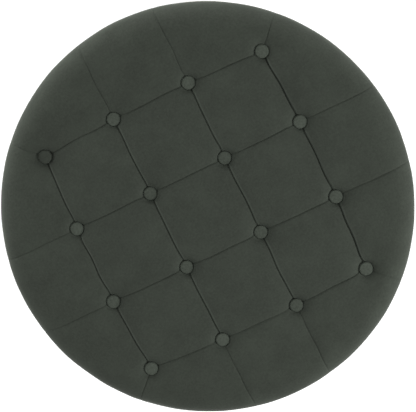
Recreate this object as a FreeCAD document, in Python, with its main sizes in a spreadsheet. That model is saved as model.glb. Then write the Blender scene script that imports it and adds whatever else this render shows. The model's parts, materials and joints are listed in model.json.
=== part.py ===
"""Round storage ottoman with a buttoned lid, 760 mm across.

A drum of bent plywood on four turned feet holds the storage space. A padded lid, drawn down at
sixteen covered buttons, turns on a short piano hinge at the rear, and two folding stays hold it
open.

Frame: millimetres, +Z up, origin on the floor at the centre of the drum. The hinge is at +Y,
so the lid opens from the front, and the button grid runs along X and Y.
"""

import FreeCAD, Part
import math
import os
import Sketcher

DOC = FreeCAD.newDocument("storage_ottoman")

# ----------------------------------------------------------------------------- driving sizes

DRIVING = {
    "lid_radius": 380,  # widest part of the padded lid
    "overall_height": 430,  # floor to the crown of the lid
    "drum_radius": 366,  # outside of the drum's fabric
    "foot_height": 45,
    "glide_thick": 3,
    "board_thick": 15,  # plywood of base, hoop and lid
    "wall_thick": 6,  # bent plywood wall
    "wadding_drum": 6.5,
    "cloth": 1.5,  # upholstery velvet on the drum
    "lining_thick": 1.2,
    "lining_gap": 0.3,  # lining to the rim hoop
    "hoop_width": 30,
    "rim_height": 330,  # top of the plywood hoop
    "rim_rounding": 5,
    "batten_width": 26,
    "batten_depth": 18,
    "batten_count": 8,
    "batten_setback": 0.8,  # behind the bent wall, for glue
    "board_clearance": 0.2,  # round a board that drops into the wall
    "hem_wrap": 15,  # velvet turned under the drum
    "inner_return": 30,  # velvet turned down inside the rim
    "dust_setback": 8,  # dust cover's edge, in from the wall
    "dust_hole_gap": 1,  # round each foot
    "bumper_radius": 5,
    "bumper_gap": 0.3,  # bumper to lid when it is shut
    "bumper_spaces": 6,  # equal spaces round the rim; the hinge takes one place
    "joint_gap": 3.4,  # rim to lid, which the two hinge leaves fill
    "lid_cloth": 2,  # velvet on the lid, with its backing
    "lid_wadding": 6,
    "lid_board_radius": 351.5,
    "underlining": 0.6,
    "underlining_radius": 345,
    "cover_mouth": 330,  # radius of the velvet's edge under the board
    "staple_count": 36,
    "staple_circle": 343,  # radius of the ring of staples
    "staple_crown": 10,
    "staple_leg": 9,
    "staple_wire": 0.8,
    "staple_width": 1,
    "lid_flat_radius": 335,  # where the crown turns into the rolled edge
    "edge_drop": 5,  # fall of the crown from the middle to that radius
    "edge_turn_top": 42,  # height of the rolled top edge
    "edge_turn_low": 27,  # height of the tucked lower edge
    "edge_arc_top": 45.5,  # radius of the rolled edge's upper arc
    "edge_arc_low": 29.5,  # and of its lower one
    "lid_under_radius": 352,  # where the tucked edge meets the underside
    "tuft_pitch": 150,
    "corner_draw": 7,  # corner buttons are drawn in by this along X and Y
    "tuft_seat": 411,  # height of the cloth under each button
    "dimple_low": 14,  # radius of a dimple at its floor
    "dimple_high": 42,  # and at the level of the crown
    "dimple_over": 2,  # how far the cutting cones stand above the crown
    "button_radius": 12.7,
    "button_rise": 6.5,
    "button_skirt": 1.5,  # rolled in under the button's edge
    "button_side": 1.8,  # height of the rolled edge
    "button_arc": 3.2,
    "button_shoulder": 2.2,  # from the edge in to the dome
    "button_dome": 2.4,  # height of the dome
    "button_back": 1.2,  # thickness of the back plate
    "back_setback": 2.5,  # back plate's edge, in from the button's
    "eye_radius": 2.4,
    "eye_wire": 0.7,
    "eye_overlap": 0.6,  # twine's end above the foot of the eye
    "twine_radius": 0.9,
    "twine_hole": 3,
    "eye_hole": 4,  # hole in velvet and wadding for the button's eye
    "foam_hole": 9,
    "eye_hole_down": 12,
    "eye_hole_up": 5,
    "washer_radius": 7,
    "washer_thick": 1.2,
    "hinge_length": 120,
    "knuckle_length": 12,
    "knuckle_radius": 3.5,
    "knuckle_gap": 0.1,  # at each end of a knuckle
    "pin_radius": 1.5,
    "pin_clearance": 0.05,
    "leaf_thick": 1.5,
    "leaf_reach": 46,  # from the pin to the leaf's inner edge
    "leaf_setback": 0.7,  # leaf's plate to the knuckles of the other leaf
    "tongue_root": 1.5,  # how far a knuckle's tongue laps its plate
    "tongue_short": 1,  # and how far it stops short of the pin's axis
    "screw_pitch": 24,
    "screw_margin": 11,  # screws from the leaf's inner edge
    "screw_head": 3.3,
    "screw_shank": 1.6,
    "screw_sink": 1.5,
    "screw_overlap": 0.1,  # of head and shank
    "screw_length": 12,
    "sink_clearance": 0.05,
    "hinge_set": 5.5,  # pin beyond the drum's surface
    "foot_circle": 296,  # radius of the circle that the feet stand on
    "foot_top_radius": 27,
    "foot_low_radius": 19,
    "foot_rounding": 2,
    "foot_step": 1,  # collar's overhang past the taper
    "foot_collar": 7,
    "foot_collar_slope": 2,
    "bolt_radius": 4,
    "bolt_depth": 28,  # of the bolt in the foot
    "bolt_length": 42,
    "bolt_play": 0.05,
    "nut_wall": 1.2,
    "nut_short": 3,  # barrel's end above the board's underside
    "nut_flange": 7,
    "nut_flange_thick": 1.5,
    "nut_room": 0.1,
    "glide_inset": 4,
    "lid_opening": 80,  # degrees
    "stay_plane": 150,  # inner face of the lower links, from the middle of the drum
    "stay_thick": 2,
    "stay_width": 16,
    "stay_gap": 0.5,
    "stay_rivet": 3,  # radius of the rivets the stays turn on
    "drum_pivot_in": 140,  # drum pivot, forward of the hinge pin
    "drum_pivot_down": 140,  # and below it
    "lid_pivot_in": 170,
    "lid_pivot_down": 23,
    "lower_share": 0.437,  # of the stay's length that is in its lower link
    "post_thick": 18,
    "post_front": 205,
    "post_depth": 62,
    "post_top": 299,
    "plate_width": 26,
    "plate_height": 70,
    "plate_drop": 56,  # foot of the plate below the drum pivot
    "ear_gap": 0.7,
    "ear_radius": 9,
    "flange_width": 20,
    "flange_length": 40,
    "rivet_head": 5.5,
    "rivet_head_thick": 1,
    "rivet_play": 0.1,
    "lid_rivet_stop": 0.4,  # lid rivet past its ear, short of the link
    "pan_head": 3.5,
    "pan_head_thick": 1.5,
    "plate_screw_pitch": 22,
    "plate_screw_length": 13,
    "post_screw_inset": 15,
    "post_screw_pitch": 32,
    "post_screw_length": 45,
    "flange_screw_in": 9,
    "flange_screw_half_pitch": 12,
    "flange_screw_length": 15,
}

SHEET = DOC.addObject("Spreadsheet::Sheet", "Sizes")
for row, (name, number) in enumerate(DRIVING.items(), start=1):
    SHEET.set(f"A{row}", name)
    SHEET.set(f"B{row}", str(number))
    SHEET.setAlias(f"B{row}", name)
DOC.recompute()


class Size:
    """A length that knows both its number and the sheet formula it comes from."""

    def __init__(self, number, formula=None):
        self.number = float(number)
        self.formula = formula if formula is not None else repr(float(number))

    @staticmethod
    def of(value):
        return value if isinstance(value, Size) else Size(value)

    def join(self, other, sign, number):
        return Size(number, f"({self.formula} {sign} {other.formula})")

    def __add__(self, other):
        other = Size.of(other)
        return self.join(other, "+", self.number + other.number)

    def __sub__(self, other):
        other = Size.of(other)
        return self.join(other, "-", self.number - other.number)

    def __mul__(self, other):
        other = Size.of(other)
        return self.join(other, "*", self.number * other.number)

    def __truediv__(self, other):
        other = Size.of(other)
        return self.join(other, "/", self.number / other.number)

    __radd__ = __add__
    __rmul__ = __mul__

    def __rsub__(self, other):
        return Size.of(other) - self


def size(name):
    return Size(SHEET.get(name), f"Sizes.{name}")


def bind(obj, prop, value):
    """Ties a property of an object to the sheet."""
    value = Size.of(value)
    obj.setExpression(prop, value.formula)


# ------------------------------------------------------------------------------ derived sizes

CLOTH = size("cloth")
DRUM_R = size("drum_radius")
WALL_OUT = DRUM_R - CLOTH - size("wadding_drum")
WALL_IN = WALL_OUT - size("wall_thick")
HOOP_IN = WALL_IN - size("hoop_width")
LINING_OUT = HOOP_IN - size("lining_gap")
LINING_IN = LINING_OUT - size("lining_thick")
BASE_LOW = size("foot_height")
BASE_TOP = BASE_LOW + size("board_thick")
RIM = size("rim_height")
RIM_CLOTH = RIM + CLOTH
LID_LOW = RIM_CLOTH + size("joint_gap")
LID_CLOTH_LOW = LID_LOW + size("underlining")
LID_BOARD_LOW = LID_CLOTH_LOW + size("lid_cloth")
LID_BOARD_TOP = LID_BOARD_LOW + size("board_thick")
LID_R = size("lid_radius")
CROWN = size("overall_height")
SEAT = size("tuft_seat")
PIN_Y = DRUM_R + size("hinge_set")
PIN_Z = RIM_CLOTH + size("joint_gap") / 2
FAR = 900.0  # long side of the blocks that trim other shapes
NODES = []


# --------------------------------------------------------------------------------- small tools


def node(obj, label):
    """Marks an object as a finished sub-part. Its Label names its file."""
    obj.Label = label
    NODES.append(obj)
    return obj


def place(obj, x=0.0, y=0.0, z=0.0):
    """Ties an object's position to the sheet."""
    for axis, value in (("x", x), ("y", y), ("z", z)):
        bind(obj, f".Placement.Base.{axis}", value)
    return obj


def plane(body, role):
    return next(f for f in body.Origin.OriginFeatures if f.Role == role)


def new_sketch(body, name, role, lift=None):
    sketch = body.newObject("Sketcher::SketchObject", name)
    sketch.AttachmentSupport = [(plane(body, role), "")]
    sketch.MapMode = "FlatFace"
    if lift is not None:
        bind(sketch, ".AttachmentOffset.Base.z", lift)
    return sketch


def pin_point(sketch, geometry, end, x, y):
    """Holds one point of the sketch at x, y from the origin."""
    for kind, value in (("DistanceX", x), ("DistanceY", y)):
        value = Size.of(value)
        index = sketch.addConstraint(
            Sketcher.Constraint(kind, -1, 1, geometry, end, value.number)
        )
        bind(sketch, f"Constraints[{index}]", value)


def arc_through(start, finish, radius, side):
    """Arc between two points, bulging to the left of the way from start to finish (side 1)."""
    chord = finish - start
    half = chord.Length / 2
    middle = (start + finish) / 2
    left = FreeCAD.Vector(-chord.y, chord.x, 0).normalize() * side
    rise = radius - math.sqrt(max(radius**2 - half**2, 0.0))
    return Part.Arc(start, middle + left * rise, finish)


def outline(sketch, corners):
    """Closed outline. A corner is (x, y), or (x, y, radius, side) when an arc leaves it."""
    points = [
        FreeCAD.Vector(Size.of(c[0]).number, Size.of(c[1]).number, 0) for c in corners
    ]
    ends = []
    for i, corner in enumerate(corners):
        start, finish = points[i], points[(i + 1) % len(points)]
        if len(corner) == 2:
            geometry = sketch.addGeometry(Part.LineSegment(start, finish), False)
            ends.append((geometry, 1, 2))
            continue
        radius = Size.of(corner[2])
        arc = arc_through(start, finish, radius.number, corner[3])
        geometry = sketch.addGeometry(arc, False)
        forward = sketch.getPoint(geometry, 1).distanceToPoint(start) < 1e-4
        ends.append((geometry, 1, 2) if forward else (geometry, 2, 1))
        index = sketch.addConstraint(
            Sketcher.Constraint("Radius", geometry, radius.number)
        )
        bind(sketch, f"Constraints[{index}]", radius)
    for i, corner in enumerate(corners):
        geometry, first, _ = ends[i]
        before, _, last = ends[i - 1]
        sketch.addConstraint(
            Sketcher.Constraint("Coincident", before, last, geometry, first)
        )
        pin_point(sketch, geometry, first, corner[0], corner[1])


def crown(half_width, drop):
    """Radius of an arc that falls by drop over half_width, with its centre on the axis."""
    return (half_width * half_width + drop * drop) / (drop * 2)


def turned(name, corners):
    """A solid of revolution about Z from an outline of (radius, height) corners."""
    body = DOC.addObject("PartDesign::Body", name)
    sketch = new_sketch(body, name + "_outline", "XZ_Plane")
    outline(sketch, corners)
    turn = body.newObject("PartDesign::Revolution", name + "_turn")
    turn.Profile = sketch
    turn.ReferenceAxis = (sketch, ["V_Axis"])
    turn.Angle = 360
    return body


def ring(name, inner, outer, low, high):
    return turned(name, [(inner, low), (outer, low), (outer, high), (inner, high)])


def sheet_disc(name, radius, low, thick, holes=()):
    """A round plate lying flat, with round holes given as (x, y, radius)."""
    body = DOC.addObject("PartDesign::Body", name)
    sketch = new_sketch(body, name + "_outline", "XY_Plane", low)
    for x, y, r in ((0.0, 0.0, radius), *holes):
        x, y, r = Size.of(x), Size.of(y), Size.of(r)
        centre = FreeCAD.Vector(x.number, y.number, 0)
        circle = Part.Circle(centre, FreeCAD.Vector(0, 0, 1), r.number)
        geometry = sketch.addGeometry(circle, False)
        pin_point(sketch, geometry, 3, x, y)
        index = sketch.addConstraint(Sketcher.Constraint("Radius", geometry, r.number))
        bind(sketch, f"Constraints[{index}]", r)
    pad = body.newObject("PartDesign::Pad", name + "_pad")
    pad.Profile = sketch
    bind(pad, "Length", thick)
    return body


def primitive(kind, name, **sizes):
    """A Part primitive such as Box, Cylinder or Cone, with its sizes tied to the sheet."""
    obj = DOC.addObject("Part::" + kind, name)
    for prop, value in sizes.items():
        bind(obj, prop, value)
    return obj


def block(name, x, y, z, length, width, height):
    """A box with its lowest corner at x, y, z."""
    box = primitive("Box", name, Length=length, Width=width, Height=height)
    return place(box, x, y, z)


def fuse(name, shapes):
    obj = DOC.addObject("Part::MultiFuse", name)
    obj.Shapes = shapes
    return obj


def cut(name, base, tool):
    obj = DOC.addObject("Part::Cut", name)
    obj.Base = base
    obj.Tool = tool
    return obj


def group(name, shapes):
    """Separate solids that share one node, as identical fasteners do."""
    obj = DOC.addObject("Part::Compound", name)
    obj.Links = shapes
    return obj


def lying_along_x(obj, x, y, z):
    """Turns a cylinder that stands on Z so that it runs along +X from x."""
    obj.Placement = FreeCAD.Placement(
        FreeCAD.Vector(), FreeCAD.Rotation(FreeCAD.Vector(0, 1, 0), 90)
    )
    return place(obj, x, y, z)


def turned_about_z(obj, degrees, radius, z):
    """Stands an object at a radius from the centre, turned to face outwards."""
    obj.Placement = FreeCAD.Placement(
        FreeCAD.Vector(), FreeCAD.Rotation(FreeCAD.Vector(0, 0, 1), degrees)
    )
    angle = math.radians(degrees)
    return place(obj, radius * math.cos(angle), radius * math.sin(angle), z)


def around(count, first=0.0):
    """Angles in degrees of things spaced evenly round the drum."""
    return [first + 360.0 / count * k for k in range(count)]


# ------------------------------------------------------------------------------- button grid


def tuft_points():
    """Button name to (x, y). The four corner buttons are drawn in towards the middle."""
    points = {}
    for row in range(4):
        for column in range(4):
            across, back = column - 1.5, row - 1.5
            x, y = size("tuft_pitch") * across, size("tuft_pitch") * back
            if abs(across) > 1 and abs(back) > 1:
                x = x - size("corner_draw") * math.copysign(1, across)
                y = y - size("corner_draw") * math.copysign(1, back)
            points[f"{row + 1}_{column + 1}"] = (x, y)
    return points


TUFTS = tuft_points()


# -------------------------------------------------------------------------------------- drum


def make_feet():
    """Four turned beech feet, their hanger bolts, tee nuts and nylon glides."""
    top, low, height = size("foot_top_radius"), size("foot_low_radius"), BASE_LOW
    glide, bolt = size("glide_thick"), size("bolt_radius")
    rounding, collar = size("foot_rounding"), height - size("foot_collar")
    seat = height - size("bolt_depth")
    barrel, flange = bolt + size("nut_wall"), bolt + size("nut_flange")
    flange_low = BASE_TOP - size("nut_flange_thick")
    names = ("rear_right", "rear_left", "front_left", "front_right")
    bolts, nuts, glides = [], [], []
    for name, degrees in zip(names, around(4, 45)):
        foot = turned(
            "foot_" + name,
            [
                (0.0, glide),
                (low - rounding, glide),
                (low, glide + rounding),
                (top - size("foot_step"), collar - size("foot_collar_slope")),
                (top, collar),
                (top, height),
                (bolt, height),
                (bolt, seat),
                (0.0, seat),
            ],
        )
        node(turned_about_z(foot, degrees, size("foot_circle"), 0.0), "foot_" + name)
        stud = primitive(
            "Cylinder",
            "stud_" + name,
            Radius=bolt - size("bolt_play"),
            Height=size("bolt_length"),
        )
        bolts.append(turned_about_z(stud, degrees, size("foot_circle"), seat))
        nut = turned(
            "nut_" + name,
            [
                (bolt, BASE_LOW + size("nut_short")),
                (barrel, BASE_LOW + size("nut_short")),
                (barrel, flange_low),
                (flange, flange_low),
                (flange, BASE_TOP),
                (bolt, BASE_TOP),
            ],
        )
        nuts.append(turned_about_z(nut, degrees, size("foot_circle"), 0.0))
        pad = primitive(
            "Cylinder", "pad_" + name, Radius=low - size("glide_inset"), Height=glide
        )
        glides.append(turned_about_z(pad, degrees, size("foot_circle"), 0.0))
    node(group("foot_bolts", bolts), "foot_bolts")
    node(group("tee_nuts", nuts), "tee_nuts")
    node(group("foot_glides", glides), "foot_glides")


def make_base_board():
    """Plywood floor of the drum, counterbored for the tee nuts."""
    at = size("foot_circle") * math.cos(math.radians(45))
    spots = [(at * sx, at * sy) for sx in (1, -1) for sy in (1, -1)]
    room = size("nut_room")
    barrel = size("bolt_radius") + size("nut_wall") + room
    flange = size("bolt_radius") + size("nut_flange") + room * 2
    body = sheet_disc(
        "base_board",
        WALL_IN - size("board_clearance"),
        BASE_LOW,
        size("board_thick"),
        [(x, y, barrel) for x, y in spots],
    )
    sketch = new_sketch(body, "counterbores", "XY_Plane", BASE_TOP)
    for x, y in spots:
        centre = FreeCAD.Vector(x.number, y.number, 0)
        circle = Part.Circle(centre, FreeCAD.Vector(0, 0, 1), flange.number)
        geometry = sketch.addGeometry(circle, False)
        pin_point(sketch, geometry, 3, x, y)
        index = sketch.addConstraint(
            Sketcher.Constraint("Radius", geometry, flange.number)
        )
        bind(sketch, f"Constraints[{index}]", flange)
    pocket = body.newObject("PartDesign::Pocket", "counterbore")
    pocket.Profile = sketch
    bind(pocket, "Length", size("nut_flange_thick") + room)
    node(body, "base_board")


HALF_TURN = 179.9  # degrees, so that the two wall panels' edges just clear each other


def make_wall():
    """Two half drums of bent plywood that meet at the side battens."""
    for name, degrees in (("front", 180), ("rear", 0)):
        half = turned(
            "wall_" + name,
            [
                (WALL_IN, BASE_LOW),
                (WALL_OUT, BASE_LOW),
                (WALL_OUT, RIM),
                (WALL_IN, RIM),
            ],
        )
        half.Group[-1].Angle = HALF_TURN
        half.Placement.Rotation = FreeCAD.Rotation(FreeCAD.Vector(0, 0, 1), degrees)
        node(place(half), "wall_panel_" + name)


def make_hoop():
    low = RIM - size("board_thick")
    outer = WALL_IN - size("board_clearance")
    node(ring("rim_hoop", HOOP_IN, outer, low, RIM), "rim_hoop")


def make_battens():
    """Upright pine battens between the base board and the hoop."""
    width, depth = size("batten_width"), size("batten_depth")
    height = RIM - size("board_thick") - BASE_TOP
    inner = WALL_IN - size("batten_setback") - depth
    battens = []
    for count, degrees in enumerate(around(int(size("batten_count").number)), start=1):
        batten = primitive("Box", f"batten_{count}", Length=depth, Width=width, Height=height)
        angle = math.radians(degrees)
        batten.Placement.Rotation = FreeCAD.Rotation(FreeCAD.Vector(0, 0, 1), degrees)
        place(
            batten,
            inner * math.cos(angle) + width / 2 * math.sin(angle),
            inner * math.sin(angle) - width / 2 * math.cos(angle),
            BASE_TOP,
        )
        battens.append(batten)
    node(group("wall_battens", battens), "wall_battens")


def make_drum_cloth():
    """Wadding, velvet cover, lining and dust cover of the drum."""
    rounding = size("rim_rounding")
    wad_out, cover_in = DRUM_R - CLOTH, DRUM_R - CLOTH
    wadding = turned(
        "drum_wadding",
        [
            (WALL_OUT, BASE_LOW),
            (wad_out, BASE_LOW),
            (wad_out, RIM - rounding, rounding, -1),
            (wad_out - rounding, RIM),
            (WALL_OUT, RIM),
        ],
    )
    node(wadding, "drum_wadding")
    over = rounding + CLOTH
    inner = LINING_IN - CLOTH
    hem, turned_down = WALL_IN - size("hem_wrap"), RIM - size("inner_return")
    cover = turned(
        "drum_cover",
        [
            (hem, BASE_LOW - CLOTH),
            (DRUM_R, BASE_LOW - CLOTH),
            (DRUM_R, RIM - rounding, over, -1),
            (DRUM_R - over, RIM_CLOTH),
            (inner, RIM_CLOTH),
            (inner, turned_down),
            (LINING_IN, turned_down),
            (LINING_IN, RIM),
            (cover_in - rounding, RIM, rounding, 1),
            (cover_in, RIM - rounding),
            (cover_in, BASE_LOW),
            (hem, BASE_LOW),
        ],
    )
    node(cover, "drum_cover")
    lining_low = BASE_TOP + size("lining_thick")
    node(ring("wall_lining", LINING_IN, LINING_OUT, lining_low, RIM), "wall_lining")
    floor = sheet_disc("floor_lining", LINING_OUT, BASE_TOP, size("lining_thick"))
    node(floor, "floor_lining")
    at = size("foot_circle") * math.cos(math.radians(45))
    holes = [
        (at * sx, at * sy, size("foot_top_radius") + size("dust_hole_gap"))
        for sx in (1, -1)
        for sy in (1, -1)
    ]
    dust_low = BASE_LOW - CLOTH - size("underlining")
    dust_radius = WALL_IN - size("dust_setback")
    dust = sheet_disc("dust_cover", dust_radius, dust_low, size("underlining"), holes)
    node(dust, "dust_cover")


def make_bumpers():
    """Soft rubber buttons on the rim that the closed lid comes down on."""
    radius = (HOOP_IN + WALL_IN) / 2
    pads = []
    for count, degrees in enumerate(around(int(size("bumper_spaces").number), 30), start=1):
        if abs(degrees - 90) < 1:
            continue
        pad = primitive(
            "Cylinder",
            f"pad_{count}",
            Radius=size("bumper_radius"),
            Height=size("joint_gap") - size("bumper_gap"),
        )
        pads.append(turned_about_z(pad, degrees, radius, RIM_CLOTH))
    node(group("rim_bumpers", pads), "rim_bumpers")


# --------------------------------------------------------------------------------------- lid


def lid_envelope(name, inset):
    """The padded lid's outer form, or one set in by the thickness of the layers over it."""
    flat, side = size("lid_flat_radius"), LID_R - inset
    low = LID_CLOTH_LOW + inset
    edge_top = CROWN - size("edge_drop") - inset
    side_top = CROWN - size("edge_drop") - size("edge_turn_top")
    return turned(
        name,
        [
            (0.0, low),
            (size("lid_under_radius"), low, size("edge_arc_low") - inset, -1),
            (side, LID_CLOTH_LOW + size("edge_turn_low")),
            (side, side_top, size("edge_arc_top") - inset, -1),
            (flat, edge_top, crown(flat, size("edge_drop")), -1),
            (0.0, CROWN - inset),
        ],
    )


def pad_form(name, inset):
    """The lid's form with a cone sunk at each button, widened by the layers over it."""
    low, high = size("dimple_low"), size("dimple_high")
    cones = []
    for key, (x, y) in TUFTS.items():
        cone = primitive(
            "Cone",
            f"{name}_dimple_{key}",
            Radius1=low + inset,
            Radius2=high + inset,
            Height=CROWN + size("dimple_over") - SEAT,
        )
        cones.append(place(cone, x, y, SEAT - inset))
    dimples = group(name + "_dimples", cones)
    return cut(name, lid_envelope(name + "_envelope", inset), dimples)


def shafts(name, radius, low, high):
    """Upright clearance holes for the tufting twine at every button."""
    tools = []
    for key, (x, y) in TUFTS.items():
        tool = primitive(
            "Cylinder", f"{name}_{key}", Radius=radius, Height=high - low
        )
        tools.append(place(tool, x, y, low))
    return group(name, tools)


def trim_disc(name, radius, low, high):
    disc = primitive("Cylinder", name, Radius=radius, Height=high - low)
    return place(disc, 0.0, 0.0, low)


def make_lid_board():
    holes = [(x, y, size("twine_hole")) for x, y in TUFTS.values()]
    board = sheet_disc(
        "lid_board", size("lid_board_radius"), LID_BOARD_LOW, size("board_thick"), holes
    )
    node(board, "lid_board")


def make_lid_padding():
    """Foam on the board, a layer of wadding over it, and the velvet cover."""
    cloth, layers = size("lid_cloth"), size("lid_cloth") + size("lid_wadding")
    under = LID_LOW - size("board_thick")
    eye_low, eye_high = SEAT - size("eye_hole_down"), SEAT + size("eye_hole_up")
    below = trim_disc("below_foam", Size(FAR), under, LID_BOARD_TOP)
    foam_block = cut("foam_block", pad_form("foam_form", layers), below)
    foam_holes = shafts("foam_hole", size("foam_hole"), under, CROWN)
    node(cut("lid_foam", foam_block, foam_holes), "lid_foam")

    board_room = trim_disc("board_room", size("lid_board_radius"), under, LID_BOARD_TOP)
    core = fuse("wadding_core", [pad_form("wadding_core_form", layers), board_room])
    layer = cut("wadding_layer", pad_form("wadding_form", cloth), core)
    wadding_eyes = shafts("wadding_eye", size("eye_hole"), eye_low, eye_high)
    node(cut("lid_wadding", layer, wadding_eyes), "lid_wadding")

    shell = cut("cover_shell", pad_form("cover_form", Size(0.0)), pad_form("cover_core", cloth))
    mouth = trim_disc("cover_mouth", size("cover_mouth"), under, LID_BOARD_TOP)
    cover = cut("cover_open", shell, mouth)
    cover_eyes = shafts("cover_eye", size("eye_hole"), eye_low, eye_high)
    node(cut("lid_cover", cover, cover_eyes), "lid_cover")


def make_buttons():
    """Sixteen cloth-covered buttons, their metal backs, twine and tie-off washers."""
    radius, rise, dome = size("button_radius"), size("button_rise"), size("button_dome")
    shoulder, back = radius - size("button_shoulder"), size("button_back")
    eye_z = SEAT - size("eye_radius")
    twine_low = LID_BOARD_LOW - size("washer_thick")
    twine_top = eye_z - size("eye_radius") + size("eye_overlap")
    backs, twines, washers = [], [], []
    for key, (x, y) in TUFTS.items():
        cap = turned(
            "cap_" + key,
            [
                (0.0, 0.0),
                (radius - size("button_skirt"), 0.0),
                (radius, size("button_side"), size("button_arc"), -1),
                (shoulder, rise - dome, crown(shoulder, dome), -1),
                (0.0, rise),
            ],
        )
        node(place(cap, x, y, SEAT + back), "button_" + key)
        plate = primitive(
            "Cylinder", "plate_" + key, Radius=radius - size("back_setback"), Height=back
        )
        place(plate, x, y, SEAT)
        eye = primitive(
            "Torus", "eye_" + key, Radius1=size("eye_radius"), Radius2=size("eye_wire")
        )
        eye.Placement.Rotation = FreeCAD.Rotation(FreeCAD.Vector(1, 0, 0), 90)
        place(eye, x, y, eye_z)
        backs.append(fuse("back_" + key, [plate, eye]))
        twine = primitive(
            "Cylinder",
            "twine_" + key,
            Radius=size("twine_radius"),
            Height=twine_top - twine_low,
        )
        twines.append(place(twine, x, y, twine_low))
        washer = ring(
            "washer_" + key,
            size("twine_radius"),
            size("washer_radius"),
            0.0,
            size("washer_thick"),
        )
        washers.append(place(washer, x, y, twine_low))
    node(group("button_backs", backs), "button_backs")
    node(group("tufting_twine", twines), "tufting_twine")
    node(group("tie_off_washers", washers), "tie_off_washers")


def make_lid_underside():
    """Black underlining and the staples that hold the velvet's turned edge."""
    disc = sheet_disc(
        "lid_underlining", size("underlining_radius"), LID_LOW, size("underlining")
    )
    node(disc, "lid_underlining")
    wire, leg, width = size("staple_wire"), size("staple_leg"), size("staple_width")
    across = size("staple_crown")
    staples = []
    for count, degrees in enumerate(around(int(size("staple_count").number), 5)):
        solid = primitive("Box", f"staple_{count}", Length=width, Width=across, Height=leg)
        gap = primitive(
            "Box", f"slot_{count}", Length=width * 2, Width=across - wire * 2, Height=leg
        )
        place(gap, width / -2, wire, wire)
        staple = cut(f"staple_cut_{count}", solid, gap)
        staples.append(turned_about_z(staple, degrees, size("staple_circle"), LID_CLOTH_LOW))
    node(group("cover_staples", staples), "cover_staples")


# ------------------------------------------------------------------------------------- hinge


def knuckle_starts(first):
    """Where every second knuckle of the piano hinge starts along X."""
    pitch = size("knuckle_length")
    return [pitch * k - size("hinge_length") / 2 for k in range(first, 10, 2)]


def screw_places():
    """Five screws across each leaf, evenly spaced."""
    return [size("screw_pitch") * k for k in range(-2, 3)]


def hinge_leaf(name, first, low, bore):
    """A leaf plate with knuckles rolled round the pin at every second place."""
    reach, radius = size("leaf_reach"), size("knuckle_radius")
    length, gap = size("hinge_length"), size("knuckle_gap")
    barrel_length = size("knuckle_length") - gap * 2
    plate_depth = reach - radius - size("leaf_setback")
    parts = [
        block(
            name + "_plate",
            length / -2,
            PIN_Y - reach,
            low,
            length,
            plate_depth,
            size("leaf_thick"),
        )
    ]
    bores = []
    for k, start in enumerate(knuckle_starts(first)):
        barrel = primitive(
            "Cylinder", f"{name}_barrel_{k}", Radius=radius, Height=barrel_length
        )
        parts.append(lying_along_x(barrel, start + gap, PIN_Y, PIN_Z))
        parts.append(
            block(
                f"{name}_tongue_{k}",
                start + gap,
                PIN_Y - radius - size("tongue_root"),
                low,
                barrel_length,
                radius - size("tongue_short"),
                size("leaf_thick"),
            )
        )
    hole = primitive("Cylinder", name + "_bore", Radius=bore, Height=length + 2)
    bores.append(lying_along_x(hole, length / -2 - 1, PIN_Y, PIN_Z))
    return fuse(name + "_solid", parts), bores


def screw(name, x, y, head_z, up):
    """A countersunk wood screw; up is 1 when its point is above its head."""
    wide, narrow, sink = size("screw_head"), size("screw_shank"), size("screw_sink")
    neck = sink - size("screw_overlap")
    head = primitive("Cone", name + "_head", Radius1=wide, Radius2=narrow, Height=sink)
    shank = primitive("Cylinder", name + "_shank", Radius=narrow, Height=size("screw_length"))
    if up > 0:
        place(head, x, y, head_z)
        place(shank, x, y, head_z + neck)
    else:
        for part in (head, shank):
            part.Placement.Rotation = FreeCAD.Rotation(FreeCAD.Vector(1, 0, 0), 180)
        place(head, x, y, head_z)
        place(shank, x, y, head_z - neck)
    return fuse(name, [head, shank])


def countersinks(name, y, head_z, up):
    """Cutters a little larger than the screws, for the leaf."""
    wide = size("screw_head") + size("sink_clearance")
    narrow = size("screw_shank") + size("sink_clearance")
    tools = []
    for k, x in enumerate(screw_places()):
        cone = primitive(
            "Cone", f"{name}_{k}", Radius1=wide, Radius2=narrow, Height=size("screw_sink")
        )
        if up < 0:
            cone.Placement.Rotation = FreeCAD.Rotation(FreeCAD.Vector(1, 0, 0), 180)
        tools.append(place(cone, x, y, head_z))
    return tools


def make_hinge():
    """A short piano hinge in the joint between drum and lid, at the rear."""
    thick = size("leaf_thick")
    screw_y = PIN_Y - size("leaf_reach") + size("screw_margin")
    fixed, bores = hinge_leaf("drum_leaf", 0, RIM_CLOTH, size("pin_radius"))
    sinks = countersinks("drum_sink", screw_y, RIM_CLOTH + thick, -1)
    cutters = group("drum_leaf_cutters", bores + sinks)
    node(cut("hinge_leaf_drum", fixed, cutters), "hinge_leaf_drum")

    running = size("pin_radius") + size("pin_clearance")
    lid_leaf_low = LID_LOW - thick
    moving, bores = hinge_leaf("lid_leaf", 1, lid_leaf_low, running)
    sinks = countersinks("lid_sink", screw_y, lid_leaf_low, 1)
    cutters = group("lid_leaf_cutters", bores + sinks)
    node(cut("hinge_leaf_lid", moving, cutters), "hinge_leaf_lid")

    pin = primitive(
        "Cylinder", "hinge_pin", Radius=size("pin_radius"), Height=size("hinge_length")
    )
    node(lying_along_x(pin, size("hinge_length") / -2, PIN_Y, PIN_Z), "hinge_pin")

    for k, x in enumerate(screw_places()):
        DRUM_SCREWS.append(screw(f"drum_screw_{k}", x, screw_y, RIM_CLOTH + thick, -1))
        LID_SCREWS.append(screw(f"lid_screw_{k}", x, screw_y, lid_leaf_low, 1))


# ------------------------------------------------------------------------------------- stays

DRUM_SCREWS = []
LID_SCREWS = []


STRAIGHT = 0.998  # distance of an open stay's end pivots, as a share of its two links


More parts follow.
